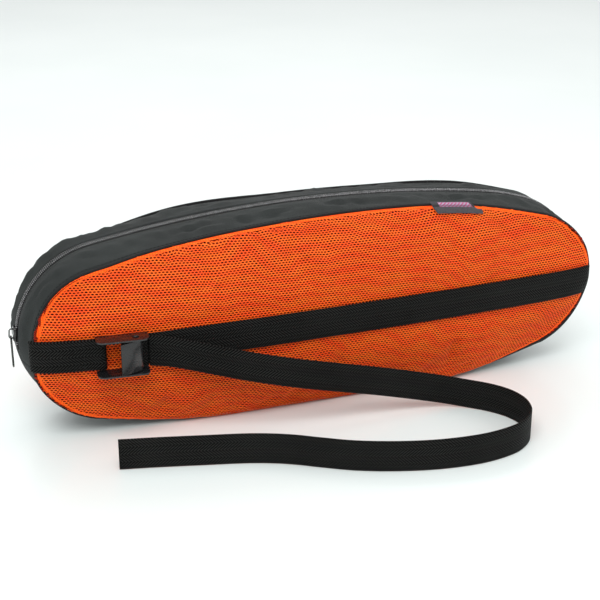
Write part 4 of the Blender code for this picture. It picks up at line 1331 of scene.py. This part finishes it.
def along_tree():
    tree, given = new_tree(
        "place_along",
        [("Path", "Object"), ("Spacing", "Float"), ("Piece", "Object"), ("Material", "Material")],
    )
    path = add_node(tree, "GeometryNodeObjectInfo", {"Object": given["Path"]}, transform_space="RELATIVE")
    line = add_node(tree, "GeometryNodeMeshToCurve", {"Mesh": path.outputs["Geometry"]})
    even = add_node(
        tree, "GeometryNodeResampleCurve", {"Curve": line.outputs[0], "Length": given["Spacing"]}, mode="LENGTH"
    )
    outward = add_node(tree, "GeometryNodeInputNamedAttribute", {"Name": "outward"}, data_type="FLOAT_VECTOR")
    tangent = tree.nodes.new("GeometryNodeInputTangent")
    turn = add_node(
        tree,
        "FunctionNodeAxesToRotation",
        {0: outward.outputs[0], 1: tangent.outputs[0]},
        primary_axis="Z",
        secondary_axis="X",
    )
    piece = add_node(tree, "GeometryNodeObjectInfo", {"Object": given["Piece"]}, transform_space="ORIGINAL")
    copies = add_node(
        tree,
        "GeometryNodeInstanceOnPoints",
        {"Points": even.outputs[0], "Instance": piece.outputs["Geometry"], "Rotation": turn.outputs[0]},
    )
    real = add_node(tree, "GeometryNodeRealizeInstances", {"Geometry": copies.outputs[0]})
    dressed = add_node(
        tree, "GeometryNodeSetMaterial", {"Geometry": real.outputs[0], "Material": given["Material"]}
    )
    tree.links.new(dressed.outputs[0], tree.nodes.new("NodeGroupOutput").inputs[0])
    return tree


ALONG = along_tree()


def path_object(runs):
    """Runs of (point, outward) pairs as an object of joined points."""
    mesh = bpy.data.meshes.new("path")
    points = [point for run in runs for point, _ in run]
    edges = []
    start = 0
    for run in runs:
        edges += [(start + i, start + i + 1) for i in range(len(run) - 1)]
        start += len(run)
    mesh.from_pydata(points, edges, [])
    outward = mesh.attributes.new("outward", "FLOAT_VECTOR", "POINT")
    outward.data.foreach_set("vector", [c for run in runs for _, normal in run for c in normal])
    path = bpy.data.objects.new("path", mesh)
    scene.collection.objects.link(path)
    return path


def tube(line, radius, sides=6, flat=1.0):
    """A small tube along a line of points, narrowed at its ends. flat squashes its height."""
    rings = []
    last = len(line) - 1
    for i, point in enumerate(line):
        along = (line[min(i + 1, last)] - line[max(i - 1, 0)]).normalized()
        side = along.cross(Vector((0, 0, 1)))
        side = side.normalized() if side.length > 1e-6 else Vector((0, 1, 0))
        up = side.cross(along)
        size = radius * (0.55 if i in (0, last) else 1.0)
        ring = []
        for k in range(sides):
            a = 2 * math.pi * k / sides
            ring.append(point + side * (size * math.cos(a)) + up * (size * flat * math.sin(a)))
        rings.append(ring)
    return skin("tube", rings, closed_ring=True, caps=True)


def repeat(name, runs, spacing, mesh, material):
    """Copies of a small mesh along paths, as one plain mesh object."""
    path = path_object(runs)
    unit = bpy.data.objects.new("unit", mesh)
    scene.collection.objects.link(unit)
    made = run_tree(name, ALONG, {"Path": path, "Spacing": spacing, "Piece": unit, "Material": material})
    bpy.data.objects.remove(path)
    bpy.data.objects.remove(unit)
    return made


print("placing tree has", len(ALONG.nodes), "nodes")

# %% [markdown]
# The zipper is a nylon coil. Each turn crosses from the sewn edge to the slit, rises, and hooks over at its
# head. The two rows mesh, so the rear row is half a pitch out of step. Black nylon is smooth and glints, and
# its colour also carries painted glints as small pale grey spots.

# %% Zipper coil
COIL_PITCH = 0.00155
CHAIN_BASE = 0.0058
WIRE_RADIUS = 0.00036


def nylon_material():
    r = Recipe("black_nylon_coil", Specular_IOR_Level=0.9, Coat_Weight=0.8, Coat_Roughness=0.1)
    source, _, _, _ = r.coordinates("Object")
    grain = r.noise(source, 1800, 2)
    # Painted glints: the colour jumps from black to pale grey in small sharp spots, standing in for highlights on
    # the coil turns; the same noise also varies roughness and bump
    r.colour(r.ramp(grain, 0.42, 0.62, (0.020, 0.020, 0.021), (0.36, 0.36, 0.37)))
    r.roughness(r.span(grain, 0.12, 0.28))
    r.normal(r.bump(grain, 0.00005, 0.5))
    return r.material


NYLON = nylon_material()
TURN_PROFILE = [(0.05, 2.74, 0.42), (0.0, 2.45, 1.15), (0.05, 1.75, 1.58)]
TURN_PROFILE += [(0.15, 1.05, 1.50), (0.30, 0.90, 0.90), (0.45, 1.2, 0.45)]
for label, side in (("front", -1), ("rear", 1)):
    start = -CHAIN_DIP * HEEL_RADIUS + (0.0004 if side < 0 else 0.0004 + COIL_PITCH / 2)
    run = []
    for d in spread(start, LEFT_END + CHAIN_DIP * HEEL_RADIUS - 0.0004, 700):
        point, normal = seam_at(d)
        run.append((point + normal * (shift_at(d, 0) + crest(d) - ARCH + CHAIN_BASE), normal))
    # The path runs towards -x over the top, so local +Y points to the front of the bag
    turn = [Vector((x, -side * y, z)) / 1000 for x, y, z in TURN_PROFILE]
    coil = repeat(label + "_coil_turns", [run], COIL_PITCH, tube(turn, WIRE_RADIUS, 6), NYLON)
    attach(coil, "bag")
    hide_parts(label + "_zip_coil")
    print(coil.name, "faces", len(coil.data.polygons), [round(c, 4) for c in coil.bound_box[0]])

# %% [markdown]
# The metal parts keep the model's exact shapes, so the joints still fit. A copy of each CAD node is cleaned
# of its extra edges and given small rounded edges, which is what makes metal catch the light. The far stop
# moves in with the end of the chain.

# %% Metal materials


def steel_material():
    """Black painted steel, rubbed bright in small spots along its edges."""
    r = Recipe("black_steel", Specular_IOR_Level=0.5, Coat_Weight=0.3, Coat_Roughness=0.12)
    source, _, _, _ = r.coordinates("Object")
    grain = r.noise(source, 900, 3)
    rubbed = r.noise(source, 140, 4)
    bevel = r.nodes.new("ShaderNodeBevel")
    bevel.inputs["Radius"].default_value = 0.0005
    flat = r.nodes.new("ShaderNodeNewGeometry").outputs["Normal"]
    gap = r.nodes.new("ShaderNodeVectorMath")
    gap.operation = "DOT_PRODUCT"
    r.feed(gap.inputs[0], bevel.outputs[0])
    r.feed(gap.inputs[1], flat)
    corner = r.math("SUBTRACT", 1.0, gap.outputs["Value"])
    worn = r.math("MULTIPLY", r.math("MULTIPLY", corner, 5.0), r.math("SUBTRACT", rubbed, 0.35))
    r.colour(r.ramp(worn, 0.12, 0.45, (0.010, 0.010, 0.011), (0.16, 0.16, 0.165)))
    r.feed(r.shader.inputs["Metallic"], r.span(rubbed, 0.0, 0.3))
    r.roughness(r.span(grain, 0.2, 0.36))
    r.normal(r.bump(grain, 0.00004, 0.6))
    return r.material


def bright_material(name, dark, light, rough):
    """Plated metal with fine scratches and a little tarnish."""
    r = Recipe(name, Metallic=1.0)
    source, _, _, _ = r.coordinates("Object")
    tarnish = r.noise(source, 220, 4)
    stretched = r.nodes.new("ShaderNodeMapping")
    stretched.inputs["Scale"].default_value = (1, 1, 0.08)
    r.feed(stretched.inputs["Vector"], source)
    scratches = r.noise(stretched.outputs[0], 5200, 3, 0.7)
    r.colour(r.ramp(tarnish, 0.3, 0.7, dark, light))
    r.roughness(r.span(scratches, rough - 0.08, rough + 0.12))
    r.normal(r.bump(scratches, 0.00003, 0.5))
    return r.material


STEEL = steel_material()
NICKEL = bright_material("dark_nickel", (0.020, 0.020, 0.020), (0.090, 0.088, 0.086), 0.2)
SPRING = bright_material("spring_steel", (0.30, 0.29, 0.27), (0.55, 0.54, 0.52), 0.3)


def refined(name, node, body, material, width=0.00022, segments=2):
    """A copy of a CAD node with clean faces and rounded edges."""
    mesh = frame["nodes"][node].data.copy()
    bm = bmesh.new()
    bm.from_mesh(mesh)
    bmesh.ops.remove_doubles(bm, verts=bm.verts, dist=0.00001)
    bmesh.ops.dissolve_limit(bm, angle_limit=math.radians(2), verts=bm.verts, edges=bm.edges)
    bm.to_mesh(mesh)
    bm.free()
    piece = link(name, mesh, material=material)
    bevel = piece.modifiers.new("rounded edges", "BEVEL")
    bevel.width = width
    bevel.segments = segments
    bevel.limit_method = "ANGLE"
    bevel.angle_limit = math.radians(32)
    finished(piece)
    piece.data.shade_smooth()
    piece.data.set_sharp_from_angle(angle=math.radians(38))
    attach(piece, body)
    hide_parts(node)
    return piece


refined("frame_steel", "buckle_frame", "buckle", STEEL)
refined("pin_steel", "buckle_pin", "buckle", STEEL, 0.00018)
refined("lever_steel", "cam_lever", "lever", STEEL, 0.00015)
refined("spring_wire", "cam_spring", "buckle", SPRING, 0.00008, 1)
for stop in ("front_zip_stop", "rear_zip_stop", "far_zip_stop"):
    refined(stop + "_metal", stop, "bag", NICKEL, 0.00035, 3)
chain_end = -CHAIN_DIP * HEEL_RADIUS - STOP_LENGTH / 2
sunk = seam_at(chain_end)[1] * (shift_at(chain_end, 0) + crest(chain_end) - ARCH)
for vert in bpy.data.objects["far_zip_stop_metal"].data.vertices:
    vert.co += sunk
metal = [o for o in scene.objects if o.name.endswith(("steel", "metal"))]
print("hardware faces", sum(len(piece.data.polygons) for piece in metal))

# %% [markdown]
# The slider is cast: a shield-shaped top wing with lips, a bottom wing, and a thin post between them. A bent
# bridge on top holds the pull, which is a long open loop of round wire.

# %% Slider and pull
CHAIN_TOP = CHAIN_BASE + 0.0020
SLIDER_LENGTH = 0.0110
SLIDER_WIDTH = 0.0086
SLIDER_WALL = 0.0010
SLIDER_CLEAR = 0.0006
SLIDER_ANGLE = math.radians(4.5)
BAIL_LENGTH = 0.0086
BAIL_WIDTH = 0.0012
PULL_LIFT = 0.0008
PULL_WIRE = 0.0012
PULL_LENGTH = 0.0270
PULL_WIDTH = 0.0052
BAIL_RISE = PULL_LIFT + PULL_WIRE + 0.0003
WING_LOW = CHAIN_TOP + SLIDER_CLEAR
WING_TOP = WING_LOW + SLIDER_WALL
LIP_LOW = CHAIN_BASE - 0.0003 + SLIDER_CLEAR
UNDER_TOP = CHAIN_BASE - 0.0003 - TAPE_THICK - SLIDER_CLEAR

slide_angle = math.pi - SLIDER_ANGLE
slide_out = Vector((math.cos(slide_angle), 0, math.sin(slide_angle)))
in_slider = Matrix.Translation(shoulder_pivot + slide_out * SHOULDER_RADIUS) @ Matrix.Rotation(
    math.pi / 2 - slide_angle, 4, "Y"
)
SHIELD = [(-1.0, 0.60), (-0.93, 0.70), (-0.6, 0.76), (-0.1, 0.90)]
SHIELD += [(0.35, 1.0), (0.7, 1.0), (0.9, 0.90), (1.0, 0.74)]


def slider_mesh():
    half_length, half_width = SLIDER_LENGTH / 2, SLIDER_WIDTH / 2
    upper, under = [], []
    for share, wide in SHIELD:
        x, w = share * half_length, wide * half_width
        lip = w - SLIDER_WALL * 0.8
        crown = WING_TOP - 0.0002 * abs(share)
        wing = [(-w, LIP_LOW), (-w, WING_TOP - 0.0006), (-w + 0.0006, crown - 0.0001), (0, crown)]
        wing += [(w - 0.0006, crown - 0.0001), (w, WING_TOP - 0.0006), (w, LIP_LOW)]
        wing += [(lip, LIP_LOW), (lip, WING_LOW), (-lip, WING_LOW), (-lip, LIP_LOW)]
        upper.append([Vector((x, y, z)) for y, z in wing])
        low = UNDER_TOP - SLIDER_WALL
        plate = [(-w, low + 0.0003), (-w, UNDER_TOP), (w, UNDER_TOP), (w, low + 0.0003)]
        plate += [(w - 0.0005, low), (-w + 0.0005, low)]
        under.append([Vector((x, y, z)) for y, z in plate])
    section = [(-0.0052, 0), (-0.004, 0.00025), (-0.001, 0.00025), (-0.0004, 0)]
    section += [(-0.001, -0.00025), (-0.004, -0.00025)]
    post = [[Vector((x, y, z)) for x, y in section] for z in (UNDER_TOP - 0.0002, WING_LOW + 0.0002)]
    rise, wall, half = BAIL_RISE, SLIDER_WALL, BAIL_LENGTH / 2
    top, inner = rise + wall, half - wall
    arch = [(-half, -0.0002), (-half, 0.6 * top), (-0.6 * half, top), (0.6 * half, top)]
    arch += [(half, 0.6 * top), (half, -0.0002), (inner, -0.0002), (inner, 0.85 * rise)]
    arch += [(0.85 * inner, rise), (-0.85 * inner, rise), (-inner, 0.85 * rise), (-inner, -0.0002)]
    bail = [
        [Vector((x, y, WING_TOP - 0.0002 * (z < 0) + max(z, 0))) for x, z in arch]
        for y in (-BAIL_WIDTH / 2, BAIL_WIDTH / 2)
    ]
    bm = bmesh.new()
    for rings in (upper, under, post, bail):
        bm.from_mesh(skin("part", rings, closed_ring=True, caps=True))
    bmesh.ops.transform(bm, matrix=in_slider, verts=bm.verts)
    mesh = bpy.data.meshes.new("slider")
    bm.to_mesh(mesh)
    bm.free()
    return mesh


def rounded(piece, width, segments, smooth_angle=38):
    """Rounds a piece's edges for good."""
    bevel = piece.modifiers.new("rounded edges", "BEVEL")
    bevel.width = width
    bevel.segments = segments
    bevel.limit_method = "ANGLE"
    bevel.angle_limit = math.radians(32)
    finished(piece)
    piece.data.shade_smooth()
    piece.data.set_sharp_from_angle(angle=math.radians(smooth_angle))
    return piece


slider = rounded(link("slider_metal", slider_mesh(), material=NICKEL), 0.00018, 2)
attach(slider, "slider")
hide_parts("zip_slider")

pull_pivot = Vector(joints["pull_swing"]["pos_m"])
loop_radius = (PULL_WIDTH - PULL_WIRE) / 2
loop_run = PULL_LENGTH - PULL_WIRE - 2 * loop_radius
rings = []
for centre, first in ((-loop_radius, -math.pi / 2), (-loop_radius - loop_run, math.pi / 2)):
    for i in range(13):
        a = first + math.pi * i / 12
        out = Vector((0, math.sin(a), math.cos(a)))
        middle = pull_pivot + Vector((0, 0, centre)) + out * loop_radius
        ring = []
        for k in range(10):
            b = 2 * math.pi * k / 10
            ring.append(middle + out * (PULL_WIRE / 2 * math.cos(b)) + Vector((PULL_WIRE / 2 * math.sin(b), 0, 0)))
        rings.append(ring)
pull_mesh = skin("pull_loop", rings, closed_ring=True, closed_run=True)
pull = link("pull_loop", pull_mesh, "pull", NICKEL)
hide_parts("pull_tab")
lowest = min(v.co.z for v in pull.data.vertices)
print("slider at", [round(c, 4) for c in in_slider.translation], "pull hangs to z", round(lowest, 4))

# %% [markdown]
# The label is a small folded ribbon, sewn into the front seam and lying on the panel. It carries a
# plain woven pattern of checks.

# %% Label
label_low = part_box("side_label")[0]


def label_material():
    r = Recipe("woven_label", Specular_IOR_Level=0.3, Sheen_Weight=0.15)
    _, along, down, _ = r.coordinates("UV")
    source, _, _, _ = r.coordinates("Object")
    checks = r.nodes.new("ShaderNodeTexChecker")
    checks.inputs["Scale"].default_value = 1
    shifted = r.nodes.new("ShaderNodeCombineXYZ")
    r.feed(shifted.inputs[0], r.math("MULTIPLY", along, 1 / 0.0016))
    r.feed(shifted.inputs[1], r.math("MULTIPLY", down, 1 / 0.0013))
    r.feed(checks.inputs["Vector"], shifted.outputs[0])
    thread = r.noise(source, 1600, 2)
    inked = r.nodes.new("ShaderNodeMix")
    inked.data_type = "RGBA"
    r.feed(inked.inputs["Factor"], checks.outputs["Fac"])
    inked.inputs["A"].default_value = (0.62, 0.06, 0.22, 1)
    inked.inputs["B"].default_value = (0.55, 0.50, 0.66, 1)
    across = r.math("COMPARE", along, 0.0200, 0.0140)
    height = r.math("COMPARE", down, 0.0036, 0.0027)
    inside = r.math("MULTIPLY", across, height)
    base = r.ramp(thread, 0.3, 0.7, (0.030, 0.028, 0.032), (0.075, 0.070, 0.080))
    both = r.nodes.new("ShaderNodeMix")
    both.data_type = "RGBA"
    r.feed(both.inputs["Factor"], r.math("MULTIPLY", inside, r.span(thread, 0.6, 1.0)))
    r.feed(both.inputs["A"], base)
    r.feed(both.inputs["B"], inked.outputs["Result"])
    r.colour(both.outputs["Result"])
    r.roughness(0.75)
    r.normal(r.bump(r.math("ADD", r.wave(down, 0.0005), thread), 0.00012, 0.8))
    return r.material


LABEL = label_material()
LABEL_WIDTH = 0.0360
LABEL_THICK = 0.0004
LABEL_SHEAR = 0.0050
LABEL_FLARE = 0.0060
LABEL_LOOP = 0.0042
LABEL_FALL = 0.0042
LABEL_TUCK = 0.0030
columns, rows, tucked = 20, 14, 5
label_left = label_low.x - 0.0030
panel_tree = BVHTree.FromObject(bpy.data.objects["front_panel_knit"], bpy.context.evaluated_depsgraph_get())
rings = []
drop = LABEL_LOOP + LABEL_FALL
for i in range(columns + 1):
    share = i / columns
    ring = []
    for k in range(rows + tucked + 1):
        down = min(1.0, k / rows)
        back = max(0, k - rows) / tucked
        x = label_left + LABEL_WIDTH * share + (LABEL_SHEAR + LABEL_FLARE * share) * down
        top = OUTLINES[-1].heights(x)[1]
        z = top + LABEL_LOOP - drop * down + LABEL_TUCK * back
        stand = 0.0019 + 0.0004 * math.sin(5 * share + 2 * down) - 0.0012 * min(1.0, back * 2.5)
        reach = PANEL_RIM + stand
        if z > top:
            reach += 0.0012 * math.sin(math.pi * min(1.0, down * 2))
        else:
            surface, _, _, _ = panel_tree.find_nearest(dome(x, z, -1)[0])
            reach = max(reach, stand - surface.y)
        ring.append(Vector((x, -reach, z)))
    rings.append(ring)
fall = [0.0]
for a, b in zip(rings[0], rings[0][1:]):
    fall.append(fall[-1] + (b - a).length)
mesh = skin("label_ribbon", rings, uv=lambda i, j: (LABEL_WIDTH * i / columns, fall[j]))
face_outwards(mesh, BAG_CENTRE)
label = link("label_ribbon", mesh, material=LABEL)
shell = label.modifiers.new("thickness", "SOLIDIFY")
shell.thickness = LABEL_THICK
shell.offset = -1
rounded(label, 0.00012, 1)
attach(label, "bag")
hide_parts("side_label")
print("label", round(LABEL_WIDTH * 1000), "by", round(fall[-1] * 1000, 1), "mm")

# %% [markdown]
# Lock stitches hold the cloth: rows beside the zipper and the panel seams, and a box with a cross on the
# strap stub. They use the same placing tree with a small rounded thread piece.

# %% Stitches
STITCH_LENGTH = 0.0024
STITCH_PITCH = 0.0032


def thread_material(name, dark, light):
    r = Recipe(name, Specular_IOR_Level=0.2, Sheen_Weight=0.0)
    source, _, _, _ = r.coordinates("Object")
    ply = r.noise(source, 2400, 2)
    r.colour(r.ramp(ply, 0.3, 0.7, dark, light))
    r.roughness(r.span(ply, 0.4, 0.6))
    r.normal(r.bump(ply, 0.0001, 0.8))
    return r.material


THREAD = thread_material("black_thread", (0.002, 0.002, 0.002), (0.012, 0.012, 0.012))
half = STITCH_LENGTH / 2
thread_arc = [(-half, -0.0001), (-half * 0.6, 0.00012), (0, 0.00018), (half * 0.6, 0.00012), (half, -0.0001)]
stitch_line = [Vector((x, 0, z)) for x, z in thread_arc]
STITCH = tube(stitch_line, 0.00022, 5, 0.8)


def gusset_run(start, end, y, lift=0.0):
    """A stitch path on the gusset at depth y."""
    run = []
    for d in spread(start, end, max(8, round((end - start) / 0.002))):
        point = gusset_point(d, y, lift)
        across = gusset_point(d, y + 0.0005, lift) - gusset_point(d, y - 0.0005, lift)
        along = gusset_point(d + 0.0005, y, lift) - gusset_point(d - 0.0005, y, lift)
        normal = across.cross(along).normalized()
        if normal.dot(point - BAG_CENTRE) < 0:
            normal = -normal
        run.append((point, normal))
    return run


row_ends = (UPPER_START + 0.002, UPPER_END - 0.002)
zip_rows = [gusset_run(*row_ends, side * (ZIP_SLOT + 0.0017), -0.0001) for side in (-1, 1)]
seam_rows = [gusset_run(*row_ends, side * (GUSSET_EDGE - 0.0016), -0.00005) for side in (-1, 1)]


def stub_run(angle_a, z_a, angle_b, z_b):
    """A straight stitch path on the outer face of the strap stub."""
    clear = STRAP_CLEAR + 2 * STRAP_THICK + FOLD_GAP
    run = []
    for t in spread(0.0, 1.0, 12):
        angle = angle_a + (angle_b - angle_a) * t
        height = END_HEIGHT + z_a + (z_b - z_a) * t
        pull = shift_at(LEFT_END, -1) * (angle - stub_last) / (math.pi - stub_last)
        point = over_panel(angle, clear, height, pull)
        run.append((point, point - over_panel(angle, clear - 0.001, height, pull)))
    return [(point, normal.normalized()) for point, normal in run]


stub_last = panel_angle((in_buckle @ Vector((-FRAME_TAIL, 0, 0))).x)
near, far, edge = stub_last + 0.06, stub_last + 0.30, 0.0095
box_runs = [stub_run(near, z, far, z) for z in (-edge, edge)]
box_runs += [stub_run(a, -edge, a, edge) for a in (near, far)]
box_runs += [stub_run(near, -edge, far, edge), stub_run(near, edge, far, -edge)]
box = repeat("stub_box_stitches", box_runs, STITCH_PITCH, STITCH, THREAD)
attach(box, "bag")
stitches = repeat("gusset_stitches", zip_rows + seam_rows, STITCH_PITCH, STITCH, THREAD)
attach(stitches, "bag")
print("gusset stitch faces", len(stitches.data.polygons))

# %% [markdown]
# The bag stands in a white studio. The floor is a pale, slightly polished plane that takes a soft orange
# reflection. A wide soft light hangs above and to the front left, with a weaker one on the right, and the
# world fills the shadows.

# %% Floor and light
floor_mesh = bpy.data.meshes.new("floor")
floor_mesh.from_pydata([(-12, -9, 0), (12, -9, 0), (12, 14, 0), (-12, 14, 0)], [], [(0, 1, 2, 3)])
floor = link("floor", floor_mesh)
floor_look = Recipe("white_floor", Specular_IOR_Level=0.5, Coat_Weight=0.2, Coat_Roughness=0.15)
source, _, _, _ = floor_look.coordinates("Object")
floor_grain = floor_look.noise(source, 3.0, 3)
floor_look.colour(floor_look.ramp(floor_grain, 0.3, 0.7, (0.80, 0.865, 0.850), (0.84, 0.90, 0.885)))
floor_look.roughness(floor_look.span(floor_grain, 0.26, 0.32))
floor.data.materials.append(floor_look.material)
floor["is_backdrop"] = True


def soft_light(name, place, aim, width, height, power):
    lamp = bpy.data.lights.new(name, "AREA")
    lamp.shape = "RECTANGLE"
    lamp.size = width
    lamp.size_y = height
    lamp.energy = power
    holder = bpy.data.objects.new(name, lamp)
    holder.location = place
    holder.rotation_euler = (Vector(aim) - Vector(place)).to_track_quat("-Z", "Y").to_euler()
    scene.collection.objects.link(holder)


soft_light("key", (-0.6, -1.1, 1.7), (0, 0, 0.05), 1.4, 1.2, 26)
soft_light("side", (1.5, -0.6, 1.0), (0, 0, 0.08), 0.9, 0.9, 7)
soft_light("back", (0.2, 1.5, 1.6), (0, 0, 0.1), 1.6, 0.8, 12)

world = bpy.data.worlds.new("studio")
world.use_nodes = True
world.node_tree.nodes["Background"].inputs["Color"].default_value = (1.0, 1.0, 1.0, 1)
world.node_tree.nodes["Background"].inputs["Strength"].default_value = 0.75
scene.world = world

# %% [markdown]
# Last, the shown object's box is written beside the model's own box, so the two can be compared.

# %% Size and finish
low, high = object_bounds()
for axis, name in enumerate("xyz"):
    ends = [round(corner[axis], 4) for corner in (cad_low, cad_high, low, high)]
    print(name, "model", *ends[:2], "shown", *ends[2:])
